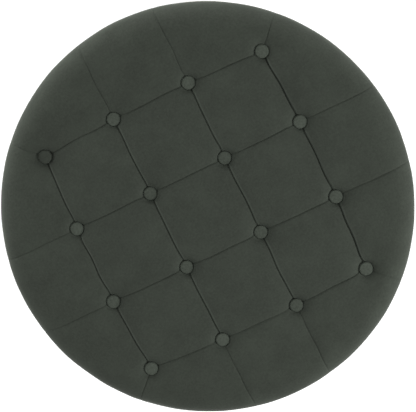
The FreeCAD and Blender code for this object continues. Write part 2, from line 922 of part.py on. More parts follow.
def stay_shape():
    """Pivots of a stay and its links' lengths, forward of the hinge pin and above it.

    Open, the two links are all but in line from the drum pivot to the lid pivot. Closed, the
    elbow is where circles of the two lengths cross, on the side towards the floor.
    """
    drum = FreeCAD.Vector(size("drum_pivot_in").number, -size("drum_pivot_down").number, 0)
    lid = FreeCAD.Vector(size("lid_pivot_in").number, -size("lid_pivot_down").number, 0)
    turn = FreeCAD.Rotation(FreeCAD.Vector(0, 0, 1), size("lid_opening").number)
    reach = (turn.multVec(lid) - drum).Length / STRAIGHT
    lower = reach * size("lower_share").number
    upper = reach - lower

    def elbow(lid_pivot):
        span = lid_pivot - drum
        along = (lower**2 - upper**2 + span.Length**2) / (2 * span.Length)
        off = math.sqrt(lower**2 - along**2)
        ahead = FreeCAD.Vector(span).normalize()
        return drum + ahead * along + FreeCAD.Vector(ahead.y, -ahead.x, 0) * off

    def heading(start, finish):
        return math.degrees(math.atan2(finish.y - start.y, finish.x - start.x))

    opened = turn.multVec(lid)
    lower_turn = heading(drum, elbow(opened)) - heading(drum, elbow(lid))
    upper_turn = heading(elbow(opened), opened) - heading(elbow(lid), lid)
    print(
        f"stay turns: lower {lower_turn:.3f}, upper against lower {upper_turn - lower_turn:.3f}"
    )
    return drum, elbow(lid), lid


def in_frame(point):
    """Y and Z in the part's frame of a point given from the hinge pin."""
    return PIN_Y.number - point.x, PIN_Z.number + point.y


def on_side(side, near, far):
    """Lowest x of something that lies between two distances from the middle plane."""
    return near if side > 0 else far * -1


def bar_x(name, side, near, far, radius, y, z):
    """A round bar along X, between two distances from the middle plane."""
    near, far = Size.of(near), Size.of(far)
    bar = primitive("Cylinder", name, Radius=radius, Height=far - near)
    return lying_along_x(bar, on_side(side, near, far), y, z)


def box_x(name, side, near, far, y, z, width, height):
    near, far = Size.of(near), Size.of(far)
    return block(name, on_side(side, near, far), y, z, far - near, width, height)


def stay_link(name, side, near, start, finish, start_hole, finish_hole):
    """A flat steel link with round ends, running from one pivot to the next."""
    thick, width = size("stay_thick"), size("stay_width")
    y1, z1 = in_frame(start)
    y2, z2 = in_frame(finish)
    length = math.hypot(y2 - y1, z2 - z1)
    bar = block(name + "_bar", 0.0, 0.0, width / -2, thick, length, width)
    parts = [bar]
    holes = []
    for end, along, hole in (("start", 0.0, start_hole), ("finish", length, finish_hole)):
        disc = primitive("Cylinder", f"{name}_{end}", Radius=width / 2, Height=thick)
        parts.append(lying_along_x(disc, 0.0, along, 0.0))
        bore = primitive("Cylinder", f"{name}_{end}_bore", Radius=hole, Height=thick + 2)
        holes.append(lying_along_x(bore, -1.0, along, 0.0))
    link = cut(name, fuse(name + "_solid", parts), group(name + "_holes", holes))
    tilt = math.degrees(math.atan2(z2 - z1, y2 - y1))
    link.Placement.Rotation = FreeCAD.Rotation(FreeCAD.Vector(1, 0, 0), tilt)
    return place(link, on_side(side, near, near + thick), y1, z1)


def rivet(name, side, near, far, heads, y, z):
    """A rivet along X with a low head at each of the given distances."""
    parts = [bar_x(name + "_shank", side, near, far, size("stay_rivet"), y, z)]
    thick, radius = size("rivet_head_thick"), size("rivet_head")
    for count, head in enumerate(heads):
        parts.append(bar_x(f"{name}_head_{count}", side, head, head + thick, radius, y, z))
    return fuse(name, parts)


class StayPlanes:
    """Distances from the middle plane of a stay's parts, from its bracket's ear to its post."""

    def __init__(self):
        thick = size("stay_thick")
        self.lower = size("stay_plane")
        self.upper = self.lower - size("stay_gap") - thick
        self.plate = self.lower + thick + size("stay_gap")
        self.post = self.plate + thick
        self.post_out = self.post + size("post_thick")
        self.post_middle = self.post + size("post_thick") / 2
        self.ear_out = self.upper - size("ear_gap")
        self.ear = self.ear_out - thick
        self.flange = self.ear - size("flange_width")


def make_post(name, side, planes, drum_y, drum_z):
    """A stay's post, its pivot plate, and the screws of both."""
    low, width = BASE_TOP + size("lining_thick"), size("plate_width")
    post = box_x(
        "post_" + name,
        side,
        planes.post,
        planes.post_out,
        size("post_front"),
        low,
        size("post_depth"),
        size("post_top") - low,
    )
    plate = box_x(
        "plate_" + name,
        side,
        planes.plate,
        planes.post,
        drum_y - width / 2,
        drum_z - size("plate_drop"),
        width,
        size("plate_height"),
    )
    near, far = planes.plate - 1, planes.post + 1
    bore = bar_x("plate_bore_" + name, side, near, far, size("stay_rivet"), drum_y, drum_z)
    head_in = planes.plate - size("pan_head_thick")
    tip = planes.post + size("plate_screw_length")
    for count in (1, 2):
        z = drum_z - size("plate_screw_pitch") * count
        key = f"{name}_{count}"
        head = bar_x("plate_head_" + key, side, head_in, planes.plate, size("pan_head"), drum_y, z)
        shank = bar_x("plate_shank_" + key, side, planes.plate, tip, size("screw_shank"), drum_y, z)
        DRUM_SCREWS.append(fuse("plate_screw_" + key, [head, shank]))
        x = on_side(side, planes.post_middle, planes.post_middle)
        y = size("post_front") + size("post_screw_inset") + size("post_screw_pitch") * (count - 1)
        DRUM_SCREWS.append(
            upright_screw("post_screw_" + key, x, y, BASE_LOW, size("post_screw_length"))
        )
    return post, cut("pierced_plate_" + name, plate, bore)


def make_bracket(name, side, planes, lid_y, lid_z):
    """The angle bracket under the lid that carries a stay's end, with its two screws."""
    thick, radius, pin = size("stay_thick"), size("ear_radius"), size("stay_rivet")
    length = size("flange_length")
    flange = box_x(
        "flange_" + name,
        side,
        planes.flange,
        planes.ear_out,
        lid_y - length / 2,
        LID_LOW - thick,
        length,
        thick,
    )
    ear = box_x(
        "ear_" + name,
        side,
        planes.ear,
        planes.ear_out,
        lid_y - radius,
        lid_z,
        radius * 2,
        LID_LOW - lid_z,
    )
    tip = bar_x("ear_tip_" + name, side, planes.ear, planes.ear_out, radius, lid_y, lid_z)
    near, far = planes.ear - 1, planes.ear_out + 1
    bore = bar_x("ear_bore_" + name, side, near, far, pin, lid_y, lid_z)
    head_low = LID_LOW - thick - size("pan_head_thick")
    across = planes.flange + size("flange_screw_in")
    for count, end in enumerate((-1, 1)):
        y = lid_y + size("flange_screw_half_pitch") * end
        x = on_side(side, across, across)
        length = size("flange_screw_length")
        LID_SCREWS.append(upright_screw(f"flange_screw_{name}_{count}", x, y, head_low, length))
    return cut("bracket_" + name, fuse("bracket_solid_" + name, [flange, ear, tip]), bore)


def make_stays():
    """Two folding lid stays, each of two links, with their posts and brackets."""
    drum, elbow, lid = stay_shape()
    planes, thick, pin = StayPlanes(), size("stay_thick"), size("stay_rivet")
    running = pin + size("pin_clearance")
    head = size("rivet_head_thick") + size("rivet_play")
    drum_y, drum_z = in_frame(drum)
    elbow_y, elbow_z = in_frame(elbow)
    lid_y, lid_z = in_frame(lid)
    posts, plates, brackets, drum_rivets, lid_rivets = [], [], [], [], []
    for name, side in (("right", 1), ("left", -1)):
        post, plate = make_post(name, side, planes, drum_y, drum_z)
        posts.append(post)
        plates.append(plate)
        brackets.append(make_bracket(name, side, planes, lid_y, lid_z))
        near = planes.lower - head
        drum_rivets.append(
            rivet("drum_rivet_" + name, side, near, planes.post, [near], drum_y, drum_z)
        )
        link = stay_link("lower_" + name, side, planes.lower, drum, elbow, running, pin)
        node(link, "stay_lower_link_" + name)
        link = stay_link("upper_" + name, side, planes.upper, elbow, lid, running, running)
        node(link, "stay_upper_link_" + name)
        near, far_head = planes.upper - head, planes.lower + thick
        far = far_head + size("rivet_head_thick")
        elbow_rivet = rivet(
            "elbow_" + name, side, near, far, [near, far_head], elbow_y, elbow_z
        )
        node(elbow_rivet, "stay_elbow_rivet_" + name)
        near = planes.ear - size("rivet_head_thick")
        far = planes.ear_out + size("lid_rivet_stop")
        lid_rivets.append(rivet("lid_rivet_" + name, side, near, far, [near], lid_y, lid_z))
    node(group("stay_posts", posts), "stay_posts")
    node(group("stay_plates", plates), "stay_plates")
    node(group("stay_drum_rivets", drum_rivets), "stay_drum_rivets")
    node(group("stay_lid_brackets", brackets), "stay_lid_brackets")
    node(group("stay_lid_rivets", lid_rivets), "stay_lid_rivets")


def upright_screw(name, x, y, head_low, length):
    """A pan-head screw that points up."""
    head = primitive(
        "Cylinder", name + "_head", Radius=size("pan_head"), Height=size("pan_head_thick")
    )
    shank = primitive("Cylinder", name + "_shank", Radius=size("screw_shank"), Height=length)
    return fuse(name, [place(head, x, y, head_low), place(shank, x, y, head_low)])


def make_screws():
    node(group("drum_screws", DRUM_SCREWS), "drum_screws")
    node(group("lid_screws", LID_SCREWS), "lid_screws")


# ------------------------------------------------------------------------------------ output


def check_document():
    """Stops if any object failed to compute, or a sub-part isn't a valid solid."""
    for obj in DOC.Objects:
        if set(obj.State) & {"Invalid", "Error"}:
            raise RuntimeError(f"{obj.Name} failed: {obj.State}")
    for obj in NODES:
        shape = obj.Shape
        if shape.isNull() or not shape.isValid() or not shape.Solids:
            raise RuntimeError(f"{obj.Label} has no valid solid")


def write_parts():
    os.makedirs("parts", exist_ok=True)
    for obj in NODES:
        obj.Shape.exportStep(os.path.join("parts", obj.Label + ".step"))
        box = obj.Shape.BoundBox
        print(
            f"{obj.Label:22s} solids {len(obj.Shape.Solids):3d}"
            f"  z {box.ZMin:7.1f} to {box.ZMax:7.1f}"
            f"  x {box.XMin:7.1f} to {box.XMax:7.1f}"
            f"  volume {obj.Shape.Volume / 1000:9.1f} cm3"
        )


def main():
    make_feet()
    make_base_board()
    make_wall()
    make_hoop()
    make_battens()
    make_drum_cloth()
    make_bumpers()
    make_lid_board()
    make_lid_padding()
    make_buttons()
    make_lid_underside()
    make_hinge()
    make_stays()
    make_screws()
    DOC.recompute()
    check_document()
    write_parts()
    print(len(NODES), "nodes")


main()
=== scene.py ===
import json
import math

import bpy
import numpy as np
from mathutils import Matrix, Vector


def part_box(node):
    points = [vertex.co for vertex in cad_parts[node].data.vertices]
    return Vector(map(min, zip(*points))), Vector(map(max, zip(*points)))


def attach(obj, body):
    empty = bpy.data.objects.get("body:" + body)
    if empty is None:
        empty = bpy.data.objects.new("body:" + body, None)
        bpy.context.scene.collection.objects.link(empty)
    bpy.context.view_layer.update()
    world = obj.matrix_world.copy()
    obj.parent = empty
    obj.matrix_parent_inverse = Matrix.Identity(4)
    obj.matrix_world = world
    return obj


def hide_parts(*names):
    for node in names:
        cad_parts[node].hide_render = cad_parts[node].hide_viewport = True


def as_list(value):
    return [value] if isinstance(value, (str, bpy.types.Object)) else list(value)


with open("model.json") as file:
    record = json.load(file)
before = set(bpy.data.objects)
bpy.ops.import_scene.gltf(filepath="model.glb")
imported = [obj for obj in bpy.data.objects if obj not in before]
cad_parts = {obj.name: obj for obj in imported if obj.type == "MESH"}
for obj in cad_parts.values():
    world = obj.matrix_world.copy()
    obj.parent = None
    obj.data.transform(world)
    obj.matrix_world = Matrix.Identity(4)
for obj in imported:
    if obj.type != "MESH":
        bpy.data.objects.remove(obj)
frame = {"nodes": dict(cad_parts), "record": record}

bl_info = {
    "name": "Buttoned storage ottoman",
    "version": (1, 0, 0),
    "blender": (4, 5, 0),
    "location": "3D View > Sidebar > Ottoman",
    "description": "Builds the upholstery and finishes of a round storage ottoman round its frame",
    "category": "Add Mesh",
}

MM = 0.001
TAU = 2 * math.pi
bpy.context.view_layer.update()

# ------------------------------------------------------------------- places from the frame


def low(node):
    return np.array(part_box(node)[0])


def high(node):
    return np.array(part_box(node)[1])


def middle(node):
    return (low(node) + high(node)) / 2


def button_name(row, column):
    return f"button_{row + 1}_{column + 1}"


# centres of the sixteen buttons in plan, by row from the front and column from the left
TUFTS = np.array([[middle(button_name(r, c))[:2] for c in range(4)] for r in range(4)])
PITCH = TUFTS[0, 2, 0] - TUFTS[0, 1, 0]
BUTTON_LOW = low("button_1_1")[2]
BUTTON_HIGH = high("button_1_1")[2]
BUTTON_R = (high("button_1_1") - low("button_1_1"))[0] / 2
SEAT = BUTTON_LOW - 1.2 * MM  # height of the cloth under the buttons' back plates
LID_R = high("lid_cover")[0]
CROWN = high("lid_cover")[2]
LID_LOW = low("lid_cover")[2]
BOARD_TOP = high("lid_board")[2]
RIM = high("drum_cover")[2]
COVER_R = high("drum_cover")[0]
COVER_LOW = low("drum_cover")[2]
PANEL_R = high("wall_panel_front")[0]
PANEL_LOW = low("wall_panel_front")[2]
PANEL_TOP = high("wall_panel_front")[2]
FEET = ("foot_rear_right", "foot_rear_left", "foot_front_left", "foot_front_right")
HEM_R_DRUM = 337 * MM  # hem of the drum's velvet, turned under the base
MOUTH_R = 319 * MM  # inside of the drum's velvet, turned down over the rim
MOUTH_LOW = 300 * MM

# ------------------------------------------------------------------------------- settings


def length(name, description, default):
    return bpy.props.FloatProperty(
        name=name, description=description, default=default, unit="LENGTH"
    )


def number(name, description, default):
    return bpy.props.FloatProperty(name=name, description=description, default=default)


def angle(name, description, degrees):
    return bpy.props.FloatProperty(
        name=name, description=description, default=math.radians(degrees), subtype="ANGLE"
    )


def colour(name, description, default):
    return bpy.props.StringProperty(
        name=name, description=description + ", as sRGB hex", default=default
    )


class OttomanVelvet(bpy.types.PropertyGroup):
    shade: colour("Shade", "Velvet with its pile lying down", "#2C302A")
    brushed: colour("Brushed", "Velvet where the pile leans to the light", "#353A33")
    # painted highlight: colour of the lips of lapped folds and of the cloth at each button's edge;
    # also the light tone of the buttons' velvet
    tight: colour("Tight", "Velvet pulled tight over a button or a lip", "#474D45")
    # painted shade: near-black colour of the folds, where the pile is also pressed, of the rear
    # left dimple and of the drum's seam
    pressed_pile_shade: colour("Folded", "Pile pressed together in a fold", "#12140F")
    sheen: number("Sheen", "Strength of the pale bloom", 0.22)
    patch: length("Patch", "Size of the brushed patches", 0.045)
    pile: length("Pile", "Spacing of the tufts of pile that show", 0.0016)


class OttomanLid(bpy.types.PropertyGroup):
    shoulder: length("Shoulder", "How far the cloth sinks beside a fold", 0.0030)
    shoulder_width: length("Shoulder width", "How far from a fold the cloth sinks", 0.0075)
    slit: length("Slit", "Depth of the narrow fold itself", 0.0026)
    slit_width: length("Slit width", "Half width of the fold", 0.0013)
    lip: length("Lip", "Distance of a lapped fold's lip from its slit", 0.0026)
    cloth: length("Cloth", "Thickness of the velvet", 0.0016)
    swell: length("Swell", "The most that the filling lifts the cloth", 0.0040)
    pressure: number("Pressure", "How hard the filling pushes the cloth out", 4.0)


class OttomanWood(bpy.types.PropertyGroup):
    stain: colour("Stain", "Stained beech of the feet", "#3A2A20")
    birch: colour("Birch", "Sanded birch plywood", "#D9BE97")
    pine: colour("Pine", "Planed pine", "#DDBE8C")


class OttomanStage(bpy.types.PropertyGroup):
    distance: length("Distance", "Camera to the edge of the lid", 2.6)
    lens: number("Lens", "Focal length in millimetres", 122.5)
    turn: angle("Turn", "Turn of the view about the upright", 26.0)
    lean: angle("Lean", "Lean of the view to the rear", 8.3)
    side_lean: angle("Side lean", "Lean of the view to the right", 2.8)


# ------------------------------------------------------------------------------ mesh tools


def facing_out(points, faces):
    """Turns the faces over if the closed surface encloses a negative volume."""
    volume = 0.0
    for group in faces:
        corner = points[group]
        for k in range(1, group.shape[1] - 1):
            a, b, c = corner[:, 0], corner[:, k], corner[:, k + 1]
            volume += np.einsum("ij,ij->", a, np.cross(b, c))
    return [group[:, ::-1] for group in faces] if volume < 0 else faces


def new_piece(name, points, faces, closed=True):
    """A smooth-shaded mesh at the origin from points and groups of equal-sided faces."""
    points = np.asarray(points, float).reshape(-1, 3)
    faces = [np.asarray(group) for group in faces]
    if closed:
        faces = facing_out(points, faces)
    mesh = bpy.data.meshes.new(name)
    mesh.from_pydata(points, [], [row for group in faces for row in group.tolist()])
    mesh.polygons.foreach_set("use_smooth", np.ones(len(mesh.polygons), bool))
    mesh.update()
    piece = bpy.data.objects.new(name, mesh)
    bpy.context.scene.collection.objects.link(piece)
    return piece


def finish_piece(piece, body, slot, *nodes, finish=None):
    """Gives a piece its finish, by slot or by name, and its body, and hides the nodes it stands
    for.
    """
    piece.data.materials.append(finish_of(finish or slot))
    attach(piece, body)
    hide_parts(*nodes)
    return piece


def thicken(piece, thickness):
    """Gives an open sheet its thickness, behind the side that its faces show."""
    solidify = piece.modifiers.new("thickness", "SOLIDIFY")
    solidify.thickness = thickness
    solidify.offset = -1


def capped(path, columns):
    """Faces of a path turned about the upright, closed by a foot point and a top point."""
    rows = len(path)
    here = np.arange(columns)
    after = (here + 1) % columns
    foot, last = 0 * here + rows * columns, (rows - 1) * columns
    floor = np.stack([foot, after, here], axis=1)
    top = np.stack([foot + 1, here + last, after + last], axis=1)
    return quads(rows, columns, round_columns=True), np.concatenate([floor, top])


def point_value(piece, name, values):
    """Stores one number at each point of a mesh, for its material to read."""
    attribute = piece.data.attributes.new(name, "FLOAT", "POINT")
    attribute.data.foreach_set("value", np.asarray(values, np.float32).ravel())


def quads(rows, columns, round_rows=False, round_columns=False, start=0):
    """Faces of a grid of points counted row by row; a round side joins its ends."""
    r = np.arange(rows if round_rows else rows - 1)
    c = np.arange(columns if round_columns else columns - 1)
    r, c = (a.ravel() for a in np.meshgrid(r, c, indexing="ij"))
    r2, c2 = (r + 1) % rows, (c + 1) % columns
    corners = (r * columns + c, r * columns + c2, r2 * columns + c2, r2 * columns + c)
    return np.stack(corners, axis=1) + start


def turned(path, columns):
    """Points of a path of radii and heights carried round the upright, a row for each."""
    a = np.arange(columns) * TAU / columns
    radius, height = path[:, 0, None], path[:, 1, None]
    return np.stack([radius * np.cos(a), radius * np.sin(a), height + 0 * a], axis=-1)


def disc(radius, rings, columns, height):
    """A flat disc: a middle point, rings round it, and faces that look up."""
    reach = radius * np.linspace(0, 1, rings + 1)[1:]
    points = turned(np.stack([reach, np.full(rings, height)], axis=1), columns).reshape(-1, 3)
    here = np.arange(columns)
    fan = np.stack([0 * here, 1 + here, 1 + (here + 1) % columns], axis=1)
    bands = quads(rings, columns, round_columns=True, start=1)[:, ::-1]
    return np.concatenate([[[0, 0, height]], points]), [fan, bands]


def rounded(corners, radii, steps=5):
    """A path of straight runs with its inner corners rounded by arcs of the given radii."""
    path = [corners[0]]
    for before, corner, after, radius in zip(corners, corners[1:], corners[2:], radii):
        back = (before - corner) / np.linalg.norm(before - corner)
        on = (after - corner) / np.linalg.norm(after - corner)
        half = math.acos(np.clip(back @ on, -1, 1)) / 2
        centre = corner + (back + on) / np.linalg.norm(back + on) * radius / math.sin(half)
        start = corner + back * radius / math.tan(half) - centre
        end = corner + on * radius / math.tan(half) - centre
        share = np.linspace(0, 1, steps + 1)[:, None]
        wide = math.pi - 2 * half
        arc = start * np.sin((1 - share) * wide) + end * np.sin(share * wide)
        path += list(centre + arc / math.sin(wide))
    return np.array(path + [corners[-1]])


def even(path, spacing):
    """The same path with extra points so that no run is longer than the spacing."""
    out = [path[:1]]
    for start, end in zip(path, path[1:]):
        count = max(1, math.ceil(np.linalg.norm(end - start) / spacing))
        share = np.linspace(0, 1, count + 1)[1:, None]
        out.append(start + (end - start) * share)
    return np.concatenate(out)


def shell(outer, inner, columns):
    """Points and faces of a closed cloth loop turned about the upright, from its two profiles."""
    loop = np.concatenate([outer, inner[::-1]])
    points = turned(loop, columns)
    return points, quads(len(loop), columns, round_rows=True, round_columns=True)


def waves(points, seed, size, amount, count=24):
    """Smooth unevenness: a sum of sine waves in seeded directions, each about one size long."""
    rng = np.random.default_rng(seed)
    ways = rng.normal(size=(count, 3))
    ways /= np.linalg.norm(ways, axis=1, keepdims=True)
    ways *= TAU / size * rng.uniform(0.6, 1.4, (count, 1))
    phases = rng.uniform(0, TAU, count)
    return amount * math.sqrt(2 / count) * np.sin(points @ ways.T + phases).sum(axis=-1)


def between(a, b, share):
    return a + (b - a) * share


def settled(share):
    """A smooth step from 0 to 1: three squares less two cubes."""
    share = np.clip(share, 0, 1)
    return share * share * (3 - 2 * share)


# ------------------------------------------------------------------------- form of the lid

SPANS = 3  # between four buttons
CREASE_CROWD = 3.4  # how strongly the grid crowds towards the folds
RING_CROWD = 2.6
FLAT_R = 335 * MM  # where the crown turns into the rolled edge
UNDER_R = 352 * MM  # where the tucked edge meets the underside
HEM_R = 330 * MM
ROLL_TOP = 42 * MM
ROLL_LOW = 27 * MM
CROWN_DROP = 5 * MM
EDGE_TOP = CROWN - CROWN_DROP
WELL_OVERLAP = 2.4 * MM  # start of a well inside its button's edge
WELL_STEEP = 3 * MM
WELL_SOFT = 12 * MM
SLACK_REACH = 13 * MM  # loose cloth beside the rear left button
LAYER_SPARE = 5 * MM  # how much wider wells and folds are in the layers below the velvet
SIDE_TOP = EDGE_TOP - ROLL_TOP
SIDE_LOW = LID_LOW + ROLL_LOW


def span_lines(steps, crowd):
    """Grid places from 0 to 3, whole at each line of buttons, crowded to them by a sinh."""
    half = np.linspace(0, 1, steps + 1)
    if crowd:
        half = np.sinh(half * CREASE_CROWD) / math.sinh(CREASE_CROWD)
    half = half / 2
    one = np.concatenate([half[:-1], 1 - half[::-1]])
    return np.concatenate([one[:-1] + k for k in range(SPANS)] + [[float(SPANS)]])


def tuft_place(s, t):
    """Plan position at grid place s across and t back: straight lines between the buttons."""
    i = np.clip(np.floor(s).astype(int), 0, SPANS - 1)
    j = np.clip(np.floor(t).astype(int), 0, SPANS - 1)
    a, b = (s - i)[..., None], (t - j)[..., None]
    front = between(TUFTS[j, i], TUFTS[j, i + 1], a)
    back = between(TUFTS[j + 1, i], TUFTS[j + 1, i + 1], a)
    return between(front, back, b)


def roll_profile(share, tucked):
    """Rolled edge from the crown down: radius, height and outward normal at shares 0 to 1.

    A quarter ellipse turns over the top edge, a short upright joins it to a second quarter
    ellipse that tucks in below, and a flat return, if it is tucked, runs in under the board.
    """
    side = LID_R - FLAT_R
    tuck = LID_R - UNDER_R
    hem = UNDER_R - HEM_R if tucked else 0.0
    lengths = np.array(
        [math.pi / 4 * (side + ROLL_TOP), SIDE_TOP - SIDE_LOW, math.pi / 4 * (tuck + ROLL_LOW), hem]
    )
    stops = np.concatenate([[0], np.cumsum(lengths)]) / lengths.sum()
    last = 3 if tucked else 2
    leg = np.clip(np.searchsorted(stops, share, side="right") - 1, 0, last)
    a = (share - stops[leg]) / (stops[leg + 1] - stops[leg])
    turn = a * math.pi / 2
    sin, cos, one, zero = np.sin(turn), np.cos(turn), np.ones_like(a), np.zeros_like(a)
    inward = between(UNDER_R, HEM_R, a)
    upright = between(SIDE_TOP, SIDE_LOW, a)
    radii = [FLAT_R + side * sin, LID_R * one, UNDER_R + tuck * cos, inward]
    heights = [SIDE_TOP + ROLL_TOP * cos, upright, SIDE_LOW - ROLL_LOW * sin, LID_LOW * one]
    out = np.choose(leg, [sin / side, one, cos / tuck, zero])
    up = np.choose(leg, [cos / ROLL_TOP, zero, -sin / ROLL_LOW, -one])
    size = np.hypot(out, up)
    return np.choose(leg, radii), np.choose(leg, heights), out / size, up / size


def column_angle(s, radius):
    """Angle of a grid column from its side's outward direction, at a radius.

    The two middle button lines run straight on to the edge, so their angle is the arc sine of
    their offset over the radius. The corner lines run out along the diagonal. Columns between
    share out the angle between them.
    """
    across = s - SPANS / 2
    straight = np.arcsin(np.clip(across, -0.5, 0.5) * PITCH / radius)
    share = np.clip(np.abs(across) - 0.5, 0, 1)
    return straight + share * (np.sign(across) * math.pi / 4 - straight)


def crown_points(plan):
    """Points and normals of the smooth crown over a plan: it falls as the radius squared."""
    fall = CROWN_DROP / FLAT_R**2
    height = CROWN - fall * (plan**2).sum(axis=-1)
    normal = np.concatenate([plan * 2 * fall, np.ones((*plan.shape[:-1], 1))], axis=-1)
    normal /= np.linalg.norm(normal, axis=-1, keepdims=True)
    return np.concatenate([plan, height[..., None]], axis=-1), normal


class LidGrid:
    """The lid's grid: a square block inside the outer buttons, and rings from there to the hem."""

    def __init__(self, steps, flat_rings, roll_rings, crowd=True, tucked=True):
        self.lines = span_lines(steps, crowd)
        self.side = len(self.lines) - 1
        s, t = np.meshgrid(self.lines, self.lines, indexing="xy")
        self.block, block_normal = crown_points(tuft_place(s, t))
        self.lead = np.linspace(0, 1, flat_rings + 1)[1:]
        if crowd:
            self.lead = np.sinh(RING_CROWD * self.lead) / math.sinh(RING_CROWD)
        self.roll = np.linspace(0, 1, roll_rings + 1)[1:]
        rings, ring_normals = self.make_rings(tucked)
        self.ring_count = len(rings)
        self.points = np.concatenate([self.block.reshape(-1, 3), rings.reshape(-1, 3)])
        self.normals = np.concatenate([block_normal.reshape(-1, 3), ring_normals.reshape(-1, 3)])
        self.round = 4 * self.side
        self.hem = np.arange(len(self.points) - self.round, len(self.points))

    def make_rings(self, tucked):
        """Rings go straight out from the block's edge to the crown's end, then over the roll."""
        start = self.block.reshape(-1, 3)[self.block_edge()][:, :2]
        outward = math.pi / 2 - np.repeat(np.arange(4), self.side) * math.pi / 2
        s = np.tile(self.lines[:-1], 4)
        turn = outward - column_angle(s, FLAT_R)
        end = FLAT_R * np.stack([np.cos(turn), np.sin(turn)], axis=-1)
        top, top_normal = crown_points(between(start[None], end[None], self.lead[:, None, None]))
        radius, height, out, up = roll_profile(self.roll, tucked)
        reach = np.maximum.accumulate(radius)[:, None]
        turn = outward - column_angle(s[None], reach)
        ray = np.stack([np.cos(turn), np.sin(turn)], axis=-1)
        tall = np.broadcast_to(height[:, None, None], (*turn.shape, 1))
        rise = np.broadcast_to(up[:, None, None], (*turn.shape, 1))
        edge = np.concatenate([ray * radius[:, None, None], tall], axis=-1)
        edge_normal = np.concatenate([ray * out[:, None, None], rise], axis=-1)
        return np.concatenate([top, edge]), np.concatenate([top_normal, edge_normal])

    def block_edge(self):
        """Point numbers round the block from its rear side, clockwise from above."""
        n = self.side
        grid = np.arange((n + 1) ** 2).reshape(n + 1, n + 1)
        return np.concatenate([grid[n, :n], grid[n:0:-1, n], grid[0, n:0:-1], grid[:n, 0]])

    def faces(self):
        """Quads of the block and of the rings, looking outwards."""
        n = self.side
        rings = np.arange(self.ring_count * self.round).reshape(-1, self.round) + (n + 1) ** 2
        rows = np.concatenate([self.block_edge()[None], rings])
        a, b = rows[:-1], rows[1:]
        band = np.stack([a, np.roll(a, -1, axis=1), np.roll(b, -1, axis=1), b], axis=-1)
        return np.concatenate([quads(n + 1, n + 1), band.reshape(-1, 4)])


def crease_lines():
    """Every fold as its two ends, shares of slit and shoulder, and whether it laps.

    Folds join neighbouring buttons and run from the outer ones to the edge. Front-to-rear
    folds are the deeper ones, and most of all along the right side.
    """
    lines = []
    for k in range(4):
        slit, shoulder = (1.4, 1.2) if k == 3 else (0.9, 1.0)
        for m in range(3):
            lines.append((TUFTS[k, m], TUFTS[k, m + 1], 0.50, 0.75, False))
            lines.append((TUFTS[m, k], TUFTS[m + 1, k], slit, shoulder, True))
    far = LID_R * 1.2
    for k in (1, 2):
        for here, way in (
            (TUFTS[0, k], (0, -1)),
            (TUFTS[3, k], (0, 1)),
            (TUFTS[k, 0], (-1, 0)),
            (TUFTS[k, 3], (1, 0)),
        ):
            lines.append((here, here + far * np.array(way), 0.36, 0.50, False))
    for here in (TUFTS[0, 0], TUFTS[0, 3], TUFTS[3, 0], TUFTS[3, 3]):
        lines.append((here, here + far * np.sign(here) / math.sqrt(2), 0.40, 0.50, False))
    return lines


def folds(plan, lid, spare):
    """How far the nearest folds sink each point: wide shoulder, narrow slit in it, and lip.

    The shoulder fades away from the fold as an exponential, the slit as a narrow bell. The
    front-to-rear folds lie over to the left, so that a lip of cloth stands along their right
    side. Spare widens shoulder and slit, for the layers underneath.
    """
    shoulder, slit, lip = np.zeros(len(plan)), np.zeros(len(plan)), np.zeros(len(plan))
    for start, end, deep, wide, lapped in crease_lines():
        way = end - start
        share = np.clip(((plan - start) @ way) / (way @ way), 0, 1)
        away = np.linalg.norm(plan - start - share[:, None] * way, axis=1)
        away = np.maximum(away - spare, 0)
        shoulder = np.hypot(shoulder, lid.shoulder * wide * np.exp(-away / lid.shoulder_width))
        slit = np.maximum(slit, lid.slit * deep * np.exp(-((away / lid.slit_width) ** 2)))
        if lapped:
            right = plan[:, 0] - start[0] - share * way[0]
            bell = np.exp(-(((right - lid.lip) / (0.45 * lid.lip)) ** 2))
            lip = np.maximum(lip, bell * (away <= lid.lip * 3))
    return shoulder, slit, lip


def wells(plan, spare):
    """Share of the full depth round the nearest button, and the distance to its centre.

    Two exponentials, one steep close in and one soft further out, start a little inside the
    button's edge, so that the cloth closes round it.
    """
    away = np.linalg.norm(plan[:, None] - TUFTS.reshape(1, -1, 2), axis=2).min(axis=1)
    past = np.maximum(away - BUTTON_R + WELL_OVERLAP - spare, 0)
    steep, soft = np.exp(-past / WELL_STEEP), np.exp(-past / WELL_SOFT)
    return between(soft, steep, 0.32), away


def slack(plan):
    """Loose cloth on the outer side of the rear left button, as a lopsided bell."""
    way = np.array([-0.93, 0.37])
    off = plan - TUFTS[3, 0] - way * SLACK_REACH
    along, across = off @ way, off @ np.array([-way[1], way[0]])
    return 3.5 * MM * np.exp(-((along / (15 * MM)) ** 2) - (across / (11 * MM)) ** 2)


def sunk(grid, lid, inset=0.0, slits=True, spare=0.0):
    """The lid's plain form moved in along its normal by the wells, the folds and an inset."""
    points, plan = grid.points, grid.points[:, :2]
    shoulder, slit, lip = folds(plan, lid, spare)
    well, away = wells(plan, spare)
    depth = np.maximum(points[:, 2] - SEAT, 0)
    upper = settled((points[:, 2] - SIDE_TOP) / (EDGE_TOP - SIDE_TOP))
    drop = well * depth + (shoulder + slit * slits) * (0.08 + 0.92 * upper)
    drop = drop + slack(plan) * (away > BUTTON_R) - lip * 0.3 * MM * slits
    drop = np.where(points[:, 2] > EDGE_TOP - 3 * MM, np.minimum(drop, depth), drop)
    drop = np.where(points[:, 2] < LID_LOW + 1 * MM, 0, drop)
    return points - grid.normals * (drop + inset)[:, None], slit, lip, away


